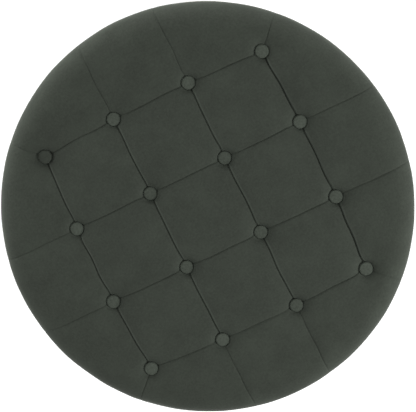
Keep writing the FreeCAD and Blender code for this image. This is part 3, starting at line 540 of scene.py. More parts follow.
def settle_cloth(points, faces, held, lid, frames=20):
    """Lets a cloth with held points swell under pressure from inside, and returns its points."""
    piece = new_piece("swelling_cover", points, [faces], closed=False)
    group = piece.vertex_groups.new(name="held")
    where = np.flatnonzero(held > 0)
    for index, weight in zip(where.tolist(), held[where].tolist()):
        group.add([index], weight, "REPLACE")
    cloth = piece.modifiers.new("cloth", "CLOTH")
    cloth.settings.quality = 5
    cloth.settings.mass = 0.25
    cloth.settings.tension_stiffness = 10
    cloth.settings.compression_stiffness = 10
    cloth.settings.shear_stiffness = 4
    cloth.settings.bending_stiffness = 0.5
    cloth.settings.vertex_group_mass = "held"
    cloth.settings.use_pressure = True
    cloth.settings.uniform_pressure_force = lid.pressure
    cloth.settings.effector_weights.gravity = 0
    cloth.point_cache.frame_start = 1
    cloth.point_cache.frame_end = frames
    scene = bpy.context.scene
    for step in range(1, frames + 1):
        scene.frame_set(step)
    swollen = piece.evaluated_get(bpy.context.evaluated_depsgraph_get())
    moved = np.zeros(len(points) * 3)
    swollen.data.vertices.foreach_get("co", moved)
    scene.frame_set(1)
    mesh = piece.data
    bpy.data.objects.remove(piece)
    bpy.data.meshes.remove(mesh)
    return moved.reshape(-1, 3)


def carry(fine, coarse):
    """Weights that carry values from coarse grid places to fine ones, by cubic steps."""
    place = np.clip(np.searchsorted(coarse, fine, side="right") - 1, 0, len(coarse) - 2)
    share = (fine - coarse[place]) / (coarse[place + 1] - coarse[place])
    weights = np.zeros((len(fine), len(coarse)))
    rows = np.arange(len(fine))
    for step, value in (
        (-1, (-share + 2 * share**2 - share**3) / 2),
        (0, (2 - 5 * share**2 + 3 * share**3) / 2),
        (1, (share + 4 * share**2 - 3 * share**3) / 2),
        (2, (-(share**2) + share**3) / 2),
    ):
        np.add.at(weights, (rows, np.clip(place + step, 0, len(coarse) - 1)), value)
    return weights


def swell_of(fine, lid):
    """How far the filling pushes the cover out at each point of a fine grid, by simulation.

    An even, coarser grid is held at its folds, buttons and hem while pressure swells it. The
    distance that each point moves is capped, and cubic steps carry it to the fine grid.
    """
    coarse = LidGrid(12, 8, 22, crowd=False)
    start, slit, _, away = sunk(coarse, lid, slits=False)
    held = np.clip(slit / (lid.slit * 0.58), 0, 1)
    held = np.where(away < BUTTON_R + 3 * MM, 1.0, held)
    held = np.where(coarse.points[:, 2] < LID_LOW + 6 * MM, 1.0, held)
    move = settle_cloth(start, coarse.faces(), held, lid) - start
    far = np.linalg.norm(move, axis=1, keepdims=True)
    move = move * (lid.swell * np.tanh(far / lid.swell) / np.maximum(far, 1e-9))
    n = coarse.side
    block = move[: (n + 1) ** 2].reshape(n + 1, n + 1, 3)
    across = carry(fine.lines, coarse.lines)
    block = np.einsum("ai,bj,ijk->abk", across, across, block)
    rings = move[(n + 1) ** 2 :].reshape(-1, coarse.round, 3)
    rings = np.concatenate([move[coarse.block_edge()][None], rings])
    rings = np.concatenate([rings, rings[:, :1]], axis=1)
    leads = [np.concatenate([grid.lead, 1 + grid.roll]) for grid in (fine, coarse)]
    out = carry(leads[0], np.concatenate([[0], leads[1]]))
    rounds = [
        np.concatenate([grid.lines[:-1] + SPANS * k for k in range(4)]) for grid in (fine, coarse)
    ]
    along = carry(rounds[0], np.concatenate([rounds[1], [4.0 * SPANS]]))
    rings = np.einsum("ai,bj,ijk->abk", out, along, rings)
    return np.concatenate([block.reshape(-1, 3), rings.reshape(-1, 3)])


def closed_pair(outer, inner, faces, hem):
    """Points and faces of a closed shell from two surfaces on one grid, joined at their hems."""
    count = len(outer)
    a, b = hem, np.roll(hem, -1)
    band = np.stack([a, b, b + count, a + count], axis=1)
    return np.concatenate([outer, inner]), [np.concatenate([faces, faces[:, ::-1] + count, band])]


def make_lid_cover():
    """Velvet cover: the sunk form, swollen by its filling, uneven, with folds that wander.

    Its "fold" value paints shade into the folds, where the pile is also pressed, and into a
    dimple beside the rear left button. Its "lip" value paints a highlight on the lips of lapped
    folds and on the cloth at each button's edge.
    """
    lid = bpy.context.scene.ottoman_lid
    grid = LidGrid(20, 22, 44)
    plan, height = grid.points[:, :2], grid.points[:, 2]
    swell = swell_of(grid, lid)
    uneven = waves(grid.points, 11, 75 * MM, 0.40 * MM) + waves(grid.points, 12, 22 * MM, 0.10 * MM)
    _, away = wells(plan, 0)
    free = settled((height - LID_LOW) / (8 * MM)) * settled((away - BUTTON_R) / (12 * MM))
    inside = settled((FLAT_R + 20 * MM - np.hypot(*plan.T)) / (50 * MM))
    wander = [waves(grid.points, seed, 70 * MM, 0.6 * MM) for seed in (13, 14)]
    swell = swell + grid.normals * (uneven * free * (0.4 + 0.6 * inside))[:, None]
    swell[:, :2] += np.stack(wander, axis=1) * (free * inside)[:, None]
    outer, slit, lip, away = sunk(grid, lid)
    inner = sunk(grid, lid, inset=lid.cloth)[0]
    points, faces = closed_pair(outer + swell, inner + swell, grid.faces(), grid.hem)
    piece = new_piece("lid_velvet", points, faces)
    upper = settled((height - SIDE_LOW) / (SIDE_TOP - SIDE_LOW))
    corner = np.linalg.norm(plan - TUFTS[3, 0], axis=1)
    dimple = np.exp(-(((corner - SLACK_REACH) / SLACK_REACH) ** 2))
    # painted shade: darker along the folds, where the pile is also pressed, and in the dimple
    # beside the rear left button
    pressed_and_shaded = 0.14 * slit / lid.slit * upper + 0.20 * dimple
    point_value(piece, "fold", np.tile(pressed_and_shaded, 2))
    # painted highlight: a lighter ring at each button's edge, where its narrow well is shaded, and
    # along the lips of lapped folds
    tight = np.exp(-(((away - BUTTON_R) / (1.8 * MM)) ** 2))
    point_value(piece, "lip", np.tile(np.maximum(0.5 * lip, 0.8 * tight), 2))
    finish_piece(piece, "lid", "velvet", "lid_cover")


def make_lid_filling():
    """Wadding between two insets of the lid's form, and foam from a deeper one to the board.

    The foam's grid stops just above the board. Rings then run down to the board's top and in
    across it to a middle point.
    """
    lid = bpy.context.scene.ottoman_lid
    grid = LidGrid(10, 10, 20, tucked=False)
    outer, inner, top = (
        sunk(grid, lid, inset=inset, spare=LAYER_SPARE)[0] for inset in (3.6 * MM, 8.6 * MM, 9 * MM)
    )
    points, faces = closed_pair(outer, inner, grid.faces(), grid.hem)
    lumps = waves(points, 21, 30 * MM, 0.25 * MM)
    points = points + lumps[:, None] * np.tile(grid.normals, (2, 1))
    piece = new_piece("lid_wadding_layer", points, faces)
    finish_piece(piece, "lid", "wadding", "lid_wadding")

    block = (grid.side + 1) ** 2
    heights = top[block:].reshape(-1, grid.round, 3)[:, 0, 2]
    kept = int(np.searchsorted(-heights, -(BOARD_TOP + 1.5 * MM)))
    top = top[: block + kept * grid.round]
    faces = grid.faces()
    faces = faces[(faces < len(top)).all(axis=1)]
    scale = np.linspace(1, 0, 9)[:-1, None, None]
    under = (top[-grid.round :] * (1, 1, 0))[None] * scale + (0, 0, BOARD_TOP)
    band = quads(len(under) + 1, grid.round, round_columns=True, start=len(top) - grid.round)
    hub = len(top) + len(under) * grid.round
    here = np.arange(grid.round)
    after = (here + 1) % grid.round
    fan = np.stack([0 * here + hub, hub - grid.round + here, hub - grid.round + after], axis=1)
    points = np.concatenate([top, under.reshape(-1, 3), [[0, 0, BOARD_TOP]]])
    piece = new_piece("lid_foam_block", points, [np.concatenate([faces, band]), fan])
    finish_piece(piece, "lid", "foam", "lid_foam")


# --------------------------------------------------------------------------- other pieces


BUTTON_SIDE = 1.8 * MM  # height of a button's rolled edge
HEIGHT = BUTTON_HIGH - BUTTON_LOW
PULLED = (3, 0)  # the button that is pulled over towards the rear left


def button_profile(rings):
    """Cap of a covered button from its rolled rim to its top: a quarter of a superellipse."""
    turn = np.linspace(0, math.pi / 2, rings)
    radius = np.cos(turn) ** 0.12 * BUTTON_R
    cap = np.stack([radius, BUTTON_SIDE + np.sin(turn) ** 1.1 * (HEIGHT - BUTTON_SIDE)], axis=1)
    skirt = (BUTTON_R, 0) + np.array([[-2.2, 0], [-0.7, 0.1], [-0.1, 0.8]]) * MM
    return np.concatenate([skirt, cap[:-1]])


def make_buttons():
    """Velvet-covered buttons: a cap turned about the upright, with faint gathers at its rim."""
    columns, path = 56, button_profile(13)
    a = np.arange(columns) * TAU / columns
    near_rim = settled(1 - path[:, 1] / (4 * MM))[:, None]
    for r, c in np.ndindex(4, 4):
        index, name = 4 * r + c, button_name(r, c)
        rng = np.random.default_rng(100 + index)
        points = turned(path, columns)
        gather = np.sin(rng.integers(9, 14) * a + rng.uniform(0, TAU))
        gather = gather * rng.uniform(0.10, 0.18) * MM
        points[..., :2] *= 1 - (0.10 * MM + gather * near_rim)[..., None] / BUTTON_R
        lean = np.array([0.16, -0.08]) if (r, c) == PULLED else rng.normal(0, 0.012, 2)
        points[..., 2] += (points[..., :2] @ lean) * (path[:, 1] / HEIGHT)[:, None]
        points = points.reshape(-1, 3) + (0, 0, BUTTON_LOW)
        points[:, 2] += waves(points, 200 + index, 7 * MM, 0.05 * MM)
        points = np.concatenate([points, [[0, 0, BUTTON_LOW], [0, 0, BUTTON_HIGH - 0.1 * MM]]])
        piece = new_piece("velvet_" + name, points + (*TUFTS[r, c], 0), capped(path, columns))
        # buttons take the lighter velvet; the pulled button takes the plain, darker one
        finish = "velvet" if (r, c) == PULLED else "button_velvet"
        finish_piece(piece, "lid", "velvet", name, finish=finish)


def make_twine():
    """Two-ply tufting twine: a rod whose radius swells twice round, turning once every 7 mm."""
    bottom, top = low("tufting_twine")[2], high("tufting_twine")[2]
    columns = 16
    radius = high("tufting_twine")[0] - TUFTS[:, :, 0].max()
    z = np.linspace(bottom, top, 44)
    a = np.arange(columns) * TAU / columns
    reach = radius * (0.70 + 0.30 * np.abs(np.cos(a - TAU * z[:, None] / (7 * MM))))
    one = np.stack([reach * np.cos(a), reach * np.sin(a), z[:, None] + 0 * a], axis=-1)
    one = np.concatenate([one.reshape(-1, 3), [[0, 0, bottom], [0, 0, top]]])
    places = np.concatenate([TUFTS.reshape(-1, 2), np.zeros((16, 1))], axis=1)
    starts = np.arange(16)[:, None, None] * len(one)
    points = (one[None] + places[:, None]).reshape(-1, 3)
    many = [(group[None] + starts).reshape(-1, group.shape[1]) for group in capped(z, columns)]
    piece = new_piece("tufting_twine_ply", points, many)
    finish_piece(piece, "lid", "twine", "tufting_twine")


def cover_paths():
    """Outer and inner profile of the drum's velvet: hem, side, rolled rim, inner return."""
    outer = np.array(
        [
            [HEM_R_DRUM, COVER_LOW],
            [COVER_R, COVER_LOW],
            [COVER_R, RIM],
            [MOUTH_R, RIM],
            [MOUTH_R, MOUTH_LOW],
        ]
    )
    inner = outer + np.array([[0, 1], [-1, 1], [-1, -1], [1, -1], [1, 0]]) * 1.5 * MM
    outer_radii, inner_radii = (3.5 * MM, 6.5 * MM, 4 * MM), (2 * MM, 5 * MM, 2.5 * MM)
    return rounded(outer, outer_radii), rounded(inner, inner_radii)


def make_drum_cover():
    """Velvet of the drum: its profile turned about the upright, with a sewn seam down the rear.

    The side is uneven by a third of a millimetre. The seam is a narrow bell-shaped groove with
    small puckers beside it, and shallow pleats gather the hem underneath.
    """
    outer, inner = cover_paths()
    outer, inner = even(outer, 6 * MM), even(inner, 40 * MM)
    columns = 400
    points, faces = shell(outer, inner, columns)
    outside = np.arange(len(points))[:, None] < len(outer)
    a = np.arange(columns) * TAU / columns
    reach, z = np.hypot(points[..., 0], points[..., 1]), points[..., 2]
    side = settled((reach - COVER_R + 11 * MM) / (10 * MM))
    shown = outside * side * settled((RIM - 4 * MM - z) / (6 * MM))
    off = ((a + math.pi / 2) % TAU - math.pi) * COVER_R
    groove = 1.1 * MM * np.exp(-((off / (2.4 * MM)) ** 2))
    pucker = 0.35 * MM * np.exp(-((off / (14 * MM)) ** 2)) * np.sin(TAU * z / (13 * MM))
    pleat = 0.30 * MM * np.sin(48 * a + 1.3 * np.sin(5 * a))
    pleat = pleat * settled((COVER_LOW + 26 * MM - z) / (24 * MM))
    move = waves(points, 31, 120 * MM, 0.35 * MM) + waves(points, 32, 30 * MM, 0.12 * MM)
    move = move - groove + pucker + pleat
    scale = 1 + shown * np.clip(move, -1.3 * MM, 0.8 * MM) / reach
    points[..., :2] *= scale[..., None]
    under = outside * (z < COVER_LOW + 0.2 * MM) * (reach < COVER_R - 6 * MM)
    points[..., 2] -= under * 0.25 * MM * (1 + np.sin(60 * a + 1.1 * np.sin(7 * a)))
    piece = new_piece("drum_velvet", points, [faces])
    # painted shade: the seam's groove is darkened with the velvet's fold-shade colour
    seam = np.exp(-((off / (1.6 * MM)) ** 2)) * shown * 0.5
    point_value(piece, "fold", seam)
    finish_piece(piece, "drum", "velvet", "drum_cover")


def make_drum_wadding():
    """Wadding round the drum: a closed loop between two radii, softly uneven outside."""
    radius = high("drum_wadding")[0] - 0.2 * MM
    ends = np.array([[radius, PANEL_LOW + 1 * MM], [radius, PANEL_TOP - 1 * MM]])
    path = even(ends, 24 * MM)
    back = path * (0, 1) + (PANEL_R + 0.05 * MM, 0)
    points, faces = shell(path, back, 240)
    outer = np.arange(len(points))[:, None] < len(path)
    move = -np.abs(waves(points, 41, 60 * MM, 0.6 * MM)) * outer
    points[..., :2] *= (1 + move / radius)[..., None]
    piece = new_piece("drum_wadding_layer", points, [faces])
    finish_piece(piece, "drum", "wadding", "drum_wadding")


def make_linings():
    """Lining of the storage space: a cylinder glued to the wall, and a disc on the base.

    Both are single sheets given their thickness behind. Long shallow waves stand off the wall,
    and a few shallow ripples cross the floor.
    """
    thick = high("floor_lining")[2] - low("floor_lining")[2]
    bottom, top, radius = low("wall_lining")[2], *high("wall_lining")[[2, 0]]
    path = even(np.array([[radius - thick, bottom], [radius - thick, top]]), 12 * MM)
    points = turned(path, 300)
    loose = np.sin(math.pi * (path[:, 1] - bottom) / (top - bottom))[:, None]
    move = np.abs(waves(points * (1, 1, 0.25), 51, 90 * MM, 0.45 * MM)) * loose
    points[..., :2] *= (1 - move / radius)[..., None]
    faces = quads(len(path), 300, round_columns=True)[:, ::-1]
    piece = new_piece("wall_lining_cloth", points, [faces], closed=False)
    thicken(piece, thick)
    finish_piece(piece, "drum", "lining_cloth", "wall_lining")
    flat, rests = (top - bottom, TAU * radius), ["rim_hoop", "wall_battens"]
    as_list(rests)

    top, radius = high("floor_lining")[[2, 0]]
    points, faces = disc(radius - 0.1 * MM, 40, 160, top)
    inside = settled((radius - np.hypot(*points[:, :2].T)) / (30 * MM))
    points[:, 2] += np.abs(waves(points, 52, 110 * MM, 0.30 * MM)) * inside
    piece = new_piece("floor_lining_cloth", points, faces, closed=False)
    thicken(piece, thick)
    finish_piece(piece, "drum", "lining_cloth", "floor_lining")


def hole_round(foot, points, faces):
    """Leaves out the faces inside a foot's hole, and draws the edge left to a circle."""
    hole = (high(foot) - low(foot))[0] / 2 + 1 * MM
    off = points[:, :2] - middle(foot)[:2]
    away = np.hypot(*off.T)
    cut, kept = np.zeros(len(points), bool), np.zeros(len(points), bool)
    left = []
    for group in faces:
        gone = (away[group] < hole).all(axis=1)
        cut[group[gone].ravel()] = True
        kept[group[~gone].ravel()] = True
        left.append(group[~gone])
    rim = cut & kept
    points[rim, :2] = middle(foot)[:2] + off[rim] / away[rim, None] * hole
    return left


def without_spares(points, faces):
    """The same faces on only the points that they use."""
    used, flat = np.unique(np.concatenate([group.ravel() for group in faces]), return_inverse=True)
    parts = np.split(flat, np.cumsum([group.size for group in faces])[:-1])
    return points[used], [part.reshape(group.shape) for part, group in zip(parts, faces)]


def make_underlinings():
    """Black underlinings of the lid and the base: thin discs puckered at their staples.

    Puckers are waves round the edge that die away inwards. The lid's lies plain behind the
    hinge. The base's sags by a millimetre and opens round each foot.
    """
    for name, node, body, board in (
        ("lid_underlining_cloth", "lid_underlining", "lid", "lid_board"),
        ("dust_cover_cloth", "dust_cover", "drum", "base_board"),
    ):
        bottom, radius = low(node)[2], high(node)[0] - 0.1 * MM
        points, faces = disc(radius, 56, 288, bottom)
        a = np.arctan2(points[:, 1], points[:, 0])
        reach = np.hypot(points[:, 0], points[:, 1])
        edge = np.exp(-(((radius - 20 * MM - reach) / (16 * MM)) ** 2))
        pucker = (1 + np.sin(36 * a + 0.8 * np.sin(5 * a))) * 0.35 * MM * edge
        if body == "lid":
            loose = np.abs(waves(points, 61, 80 * MM, 0.35 * MM)) * (reach < radius - 40 * MM)
            points[:, 2] += (pucker + loose) * settled((305 * MM - points[:, 1]) / (12 * MM))
        else:
            points[:, 2] -= 1.2 * MM * (1 - (reach / radius) ** 2) + pucker * 0.6
            for foot in FEET:
                faces = hole_round(foot, points, faces)
            points, faces = without_spares(points, faces)
        piece = new_piece(name, points, [group[:, ::-1] for group in faces], closed=False)
        thicken(piece, high(node)[2] - bottom)
        finish_piece(piece, body, "black_underlining", node)


# ------------------------------------------------------------------------------ materials


def linear(hex_colour):
    """sRGB hex to a linear colour with alpha."""
    parts = np.array([int(hex_colour[i : i + 2], 16) for i in (1, 3, 5)]) / 255
    light = np.where(parts <= 0.04045, parts / 12.92, ((parts + 0.055) / 1.055) ** 2.4)
    return (*light.tolist(), 1.0)


def add_node(material, kind, values=()):
    """Adds one node and returns its outputs.

    A value that is an output socket is linked, a key that names a property sets it, and the
    rest set inputs, with hex for colours.
    """
    tree = material.node_tree
    made = tree.nodes.new("ShaderNode" + kind)
    for key, value in dict(values).items():
        if isinstance(value, bpy.types.NodeSocket):
            tree.links.new(value, made.inputs[key])
        elif isinstance(key, str) and hasattr(made, key):
            setattr(made, key, value)
        else:
            made.inputs[key].default_value = linear(value) if isinstance(value, str) else value
    return made.outputs


def velvet_surface(material, dark, light):
    """Short-pile polyester velvet, woven, cropped and brushed.

    The pile gives a matt, even colour with faint brushed patches and a fine tuft grain, and a
    pale bloom where it is seen edge-on. Near-black lines are painted shade in the folds and the
    seam, where the pile is also pressed together; lighter lines are painted highlight on the lips
    of lapped folds and round the buttons.
    """
    cloth = bpy.context.scene.ottoman_velvet
    place = add_node(material, "TexCoord")["Object"]
    wide = {"Scale": 1 / cloth.patch, "Detail": 3.0, "Roughness": 0.6, "Vector": place}
    # real tufts are 0.3 mm apart, too fine to show, so the grain is drawn coarser
    fine = {"Scale": 1 / (2.4 * cloth.pile), "Detail": 4.0, "Roughness": 0.75, "Vector": place}
    patches, grain = (add_node(material, "TexNoise", values)["Fac"] for values in (wide, fine))
    both = {"operation": "MULTIPLY_ADD", 0: patches, 1: 0.5, 2: grain}
    tone = add_node(material, "Math", both)[0]
    tone = add_node(material, "MapRange", {"From Min": 0.56, "From Max": 0.94, "Value": tone})[0]
    base = add_node(material, "Mix", {"data_type": "RGBA", 0: tone, 6: dark, 7: light})[2]
    # painted highlight from the lip value and painted shade from the fold value, mixed over the
    # pile's colour
    for value, shade in (("lip", cloth.tight), ("fold", cloth.pressed_pile_shade)):
        share = add_node(material, "Attribute", {"attribute_name": value})["Fac"]
        base = add_node(material, "Mix", {"data_type": "RGBA", 0: share, 6: base, 7: shade})[2]
    surface = {
        "Base Color": base,
        "Roughness": 0.92,
        "Specular IOR Level": 0.2,
        "Sheen Weight": cloth.sheen,
        "Sheen Roughness": 0.3,
        "Sheen Tint": "#CBD3C6",
        "Normal": add_node(
            material, "Bump", {"Strength": 0.25, "Distance": 0.5 * MM, "Height": grain}
        )["Normal"],
    }
    return add_node(material, "BsdfPrincipled", surface)[0]


def mottled_surface(material, dark, light, grain, relief, surface, stretch=(1, 1, 1)):
    """Two tones of one mottle that may also lift the surface, for the plain finishes.

    Grain is the mottle's size, detail, roughness and the two values that give the pure tones.
    Relief is the height and strength of its lift, or None.
    """
    size, detail, rough, start, end = grain
    place = add_node(material, "TexCoord")["Object"]
    place = add_node(material, "Mapping", {"Scale": stretch, "Vector": place})["Vector"]
    mottle = {"Scale": 1 / size, "Detail": detail, "Roughness": rough, "Vector": place}
    mottle = add_node(material, "TexNoise", mottle)["Fac"]
    share = add_node(material, "MapRange", {"From Min": start, "From Max": end, "Value": mottle})[0]
    base = add_node(material, "Mix", {"data_type": "RGBA", 0: share, 6: dark, 7: light})[2]
    surface = {**surface, "Base Color": base}
    if relief:
        lift = {"Strength": relief[1], "Distance": relief[0], "Height": mottle}
        surface["Normal"] = add_node(material, "Bump", lift)["Normal"]
    return add_node(material, "BsdfPrincipled", surface)[0]


def lining_surface(material):
    """Plain-woven black polyester lining: crossing threads with a soft gloss.

    Real threads are about 0.3 mm; they are drawn 1.2 mm wide so that the weave shows.
    """
    place = add_node(material, "TexCoord")["Object"]
    thread = {"Scale": 1 / (4.8 * MM), "Distortion": 0.4, "Detail": 1.0, "Vector": place}
    across, along = (
        add_node(material, "TexWave", {**thread, "bands_direction": way})["Fac"]
        for way in ("DIAGONAL", "Z")
    )
    weave = add_node(material, "Math", {"operation": "MULTIPLY", 0: across, 1: along})[0]
    slub = {"Scale": 1 / (14 * MM), "Detail": 3.0, "Roughness": 0.6, "Vector": place}
    slub = add_node(material, "TexNoise", slub)["Fac"]
    tone = add_node(material, "Math", {"operation": "MULTIPLY", 0: weave, 1: slub})[0]
    tone = add_node(material, "MapRange", {"From Min": 0.0, "From Max": 0.5, "Value": tone})[0]
    threads = {"data_type": "RGBA", 0: tone, 6: "#161618", 7: "#2E2E31"}
    lift = {"Strength": 0.5, "Distance": 0.3 * MM, "Height": weave}
    surface = {
        "Base Color": add_node(material, "Mix", threads)[2],
        "Roughness": 0.7,
        "Sheen Weight": 0.08,
        "Normal": add_node(material, "Bump", lift)["Normal"],
    }
    return add_node(material, "BsdfPrincipled", surface)[0]


def grain_surface(material, dark, light, stretch, size, roughness, coat):
    """Timber grain: a mottle drawn out along the grain, with finer pores over it."""
    place = add_node(material, "TexCoord")["Object"]
    place = add_node(material, "Mapping", {"Scale": stretch, "Vector": place})["Vector"]
    bands = {"Scale": 1 / size, "Detail": 5.0, "Roughness": 0.62, "Vector": place}
    pores = {"Scale": 6 / size, "Detail": 2.0, "Roughness": 0.7, "Vector": place}
    bands, pores = (add_node(material, "TexNoise", values)["Fac"] for values in (bands, pores))
    both = {"operation": "MULTIPLY_ADD", 0: pores, 1: 0.35, 2: bands}
    tone = add_node(material, "Math", both)[0]
    tone = add_node(material, "MapRange", {"From Min": 0.42, "From Max": 0.92, "Value": tone})[0]
    tones = {"data_type": "RGBA", 0: tone, 6: dark, 7: light}
    lift = {"Strength": 0.5, "Distance": 0.1 * MM, "Height": pores}
    surface = {
        "Base Color": add_node(material, "Mix", tones)[2],
        "Roughness": roughness,
        "Coat Weight": coat,
        "Coat Roughness": 0.3,
        "Normal": add_node(material, "Bump", lift)["Normal"],
    }
    return add_node(material, "BsdfPrincipled", surface)[0]


def ply_surface(material, birch, bent):
    """Birch plywood: rotary-cut figure on its faces, plies of 1.4 mm in turn dark on its edges.

    Plies are bands of height in a flat board, and bands of radius in the bent wall.
    """
    place = add_node(material, "TexCoord")["Object"]
    drawn = {"Scale": (1, 1, 0.15) if bent else (0.15, 1, 1), "Vector": place}
    figure = {"Scale": 1 / (9 * MM), "Detail": 5.0, "Roughness": 0.6}
    figure["Vector"] = add_node(material, "Mapping", drawn)["Vector"]
    figure = add_node(material, "TexNoise", figure)["Fac"]
    parts = add_node(material, "SeparateXYZ", {0: place})
    depth = parts[2]
    if bent:
        flat = add_node(material, "CombineXYZ", {0: parts[0], 1: parts[1]})[0]
        depth = add_node(material, "VectorMath", {"operation": "LENGTH", 0: flat})["Value"]
    turn = {"operation": "MULTIPLY", 0: depth, 1: math.pi / (1.4 * MM)}
    band = {"operation": "SINE", 0: add_node(material, "Math", turn)[0]}
    band = add_node(material, "Math", band)[0]
    ply = add_node(material, "MapRange", {"From Min": -0.25, "From Max": 0.25, "Value": band})[0]
    tone = add_node(material, "MapRange", {"From Min": 0.35, "From Max": 0.65, "Value": figure})[0]
    face = add_node(material, "Mix", {"data_type": "RGBA", 0: tone, 6: "#C9A877", 7: birch})[2]
    lift = {"Strength": 0.4, "Distance": 0.1 * MM, "Height": figure}
    surface = {
        "Base Color": add_node(
            material, "Mix", {"data_type": "RGBA", 0: ply, 6: "#A98559", 7: face}
        )[2],
        "Roughness": 0.72,
        "Normal": add_node(material, "Bump", lift)["Normal"],
    }
    return add_node(material, "BsdfPrincipled", surface)[0]


def hard_surface(material, dark, light, cloud, marks, stretch, strength, surface, gloss=None):
    """Metal, plastic or rubber: a faint cloud of two tones under fine marks in the skin.

    Gloss is the roughness under the dark and under the light tone, where the two differ.
    """
    place = add_node(material, "TexCoord")["Object"]
    drawn = add_node(material, "Mapping", {"Scale": stretch, "Vector": place})["Vector"]
    clouds = {"Scale": 1 / cloud, "Detail": 3.0, "Roughness": 0.6, "Vector": place}
    skin = {"Scale": 1 / marks, "Detail": 2.0, "Roughness": 0.6, "Vector": drawn}
    clouds, skin = (add_node(material, "TexNoise", values)["Fac"] for values in (clouds, skin))
    lift = {"Strength": strength, "Distance": 0.05 * MM, "Height": skin}
    surface = {
        **surface,
        "Base Color": add_node(
            material, "Mix", {"data_type": "RGBA", 0: clouds, 6: dark, 7: light}
        )[2],
        "Normal": add_node(material, "Bump", lift)["Normal"],
    }
    if gloss:
        rough = {"To Min": gloss[0], "To Max": gloss[1], "Value": clouds}
        surface["Roughness"] = add_node(material, "MapRange", rough)[0]
    return add_node(material, "BsdfPrincipled", surface)[0]


def finishes():
    """Each finish: the name of its material, the function that builds it, and its values."""
    cloth, wood = bpy.context.scene.ottoman_velvet, bpy.context.scene.ottoman_wood
    even, matt = (1, 1, 1), {"Roughness": 0.95}
    return {
        "velvet": ("woven_velvet", velvet_surface, cloth.shade, cloth.brushed),
        "button_velvet": ("velvet_pulled_tight", velvet_surface, cloth.brushed, cloth.tight),
        # bonded polyester wadding: white tangled fibres in soft lumps a few millimetres across
        "wadding": (
            "bonded_polyester_wadding",
            mottled_surface,
            "#D8D8D2",
            "#F4F4F0",
            (4 * MM, 4.0, 0.7, 0.35, 0.68),
            (0.8 * MM, 0.6),
            matt,
        ),
        # cut polyurethane foam: open cells of about a millimetre, cream, with no gloss
        "foam": (
            "cut_polyurethane_foam",
            mottled_surface,
            "#CFC596",
            "#EFE7C4",
            (1.4 * MM, 4.0, 0.7, 0.35, 0.68),
            (0.5 * MM, 0.6),
            matt,
        ),
        # spunbonded polypropylene: black web with a faint bonded mottle of about two millimetres
        "black_underlining": (
            "spunbonded_polypropylene",
            mottled_surface,
            "#0E0E0F",
            "#1D1D1F",
            (2 * MM, 4.0, 0.7, 0.35, 0.68),
            (0.2 * MM, 0.6),
            {"Roughness": 0.7},
        ),
        # waxed nylon twine: off-white fibres running along the plies, with a slight wax gloss
        "twine": (
            "waxed_nylon_twine",
            mottled_surface,
            "#BDB6A2",
            "#EAE5D6",
            (0.5 * MM, 3.0, 0.6, 0.35, 0.65),
            None,
            {"Roughness": 0.55},
            (1, 1, 0.25),
        ),
        "lining_cloth": ("woven_polyester_lining", lining_surface),
        # turned beech, dark stain, satin lacquer: short dark flecks along the leg, soft gloss
        "stained_beech": (
            "stained_turned_beech",
            grain_surface,
            "#1E150F",
            wood.stain,
            (1, 1, 0.12),
            3 * MM,
            0.45,
            0.5,
        ),
        # planed pine: wide yellow and reddish growth bands along each batten, no finish
        "pine": (
            "planed_pine",
            grain_surface,
            "#B98A50",
            wood.pine,
            (1, 1, 0.08),
            7 * MM,
            0.7,
            0.0,
        ),
        "plywood": ("sanded_birch_plywood", ply_surface, wood.birch, False),
        "bent_plywood": ("bent_birch_plywood", ply_surface, wood.birch, True),
        # bright zinc plate on steel: clear metal, faintly cloudy, with fine rolling marks
        "zinc_steel": (
            "bright_zinc_plated_steel",
            hard_surface,
            "#9A9C9E",
            "#C6C8CA",
            6 * MM,
            0.6 * MM,
            (1, 0.06, 1),
            0.4,
            {"Metallic": 1.0},
            (0.26, 0.44),
        ),
        # moulded black nylon: even black with a spark-eroded skin and a dull shine
        "nylon": (
            "moulded_black_nylon",
            hard_surface,
            "#131314",
            "#1F1F20",
            5 * MM,
            0.5 * MM,
            even,
            0.4,
            {"Roughness": 0.48},
        ),
        # cast polyurethane rubber: milky grey with a slightly tacky shine
        "rubber": (
            "cast_bumper_rubber",
            hard_surface,
            "#9C9C98",
            "#B6B6B1",
            5 * MM,
            0.5 * MM,
            even,
            0.4,
            {"Roughness": 0.35},
        ),
        # matt white paint: a faint roller texture, and a little glow that keeps it white
        "white_paint": (
            "matt_white_paint",
            mottled_surface,
            "#ECECEC",
            "#F2F2F2",
            (8 * MM, 3.0, 0.6, 0.0, 1.0),
            (0.1 * MM, 0.3),
            {"Roughness": 0.9, "Emission Color": "#FFFFFF", "Emission Strength": 0.35},
        ),
    }


def finish_of(key):
    """The material of a finish, built on its first use."""
    name, build, *values = finishes()[key]
    material = bpy.data.materials.get(name)
    if material is None:
        material = bpy.data.materials.new(name)
        material.use_nodes = True
        material.node_tree.nodes.clear()
        add_node(material, "OutputMaterial", {"Surface": build(material, *values)})
    return material


def finish_frame(*slots):
    """Puts the finish of each slot on the frame's own nodes that have it."""
    for part in frame["record"]["subparts"]:
        if part["material_slot"] in slots:
            node = frame["nodes"][part["node"]]
            node.material_slots[0].material = finish_of(part["material_slot"])


# ---------------------------------------------------------------------------------- stage


def view_axes(stage):
    """Right, up and back of the camera: turned about the upright, then leaned two ways."""
    across = np.array([math.cos(stage.turn), -math.sin(stage.turn), 0])
    ahead = np.array([math.sin(stage.turn), math.cos(stage.turn), 0])
    upright = np.array([0, 0, 1.0])
    sin_a, cos_a = math.sin(stage.side_lean), math.cos(stage.side_lean)
    sin_b, cos_b = math.sin(stage.lean), math.cos(stage.lean)
    right = cos_a * across - sin_a * upright
    up = -sin_a * sin_b * across + cos_b * ahead - cos_a * sin_b * upright
    back = sin_a * cos_b * across + sin_b * ahead + cos_a * cos_b * upright
    return right, up, back, across, ahead, upright


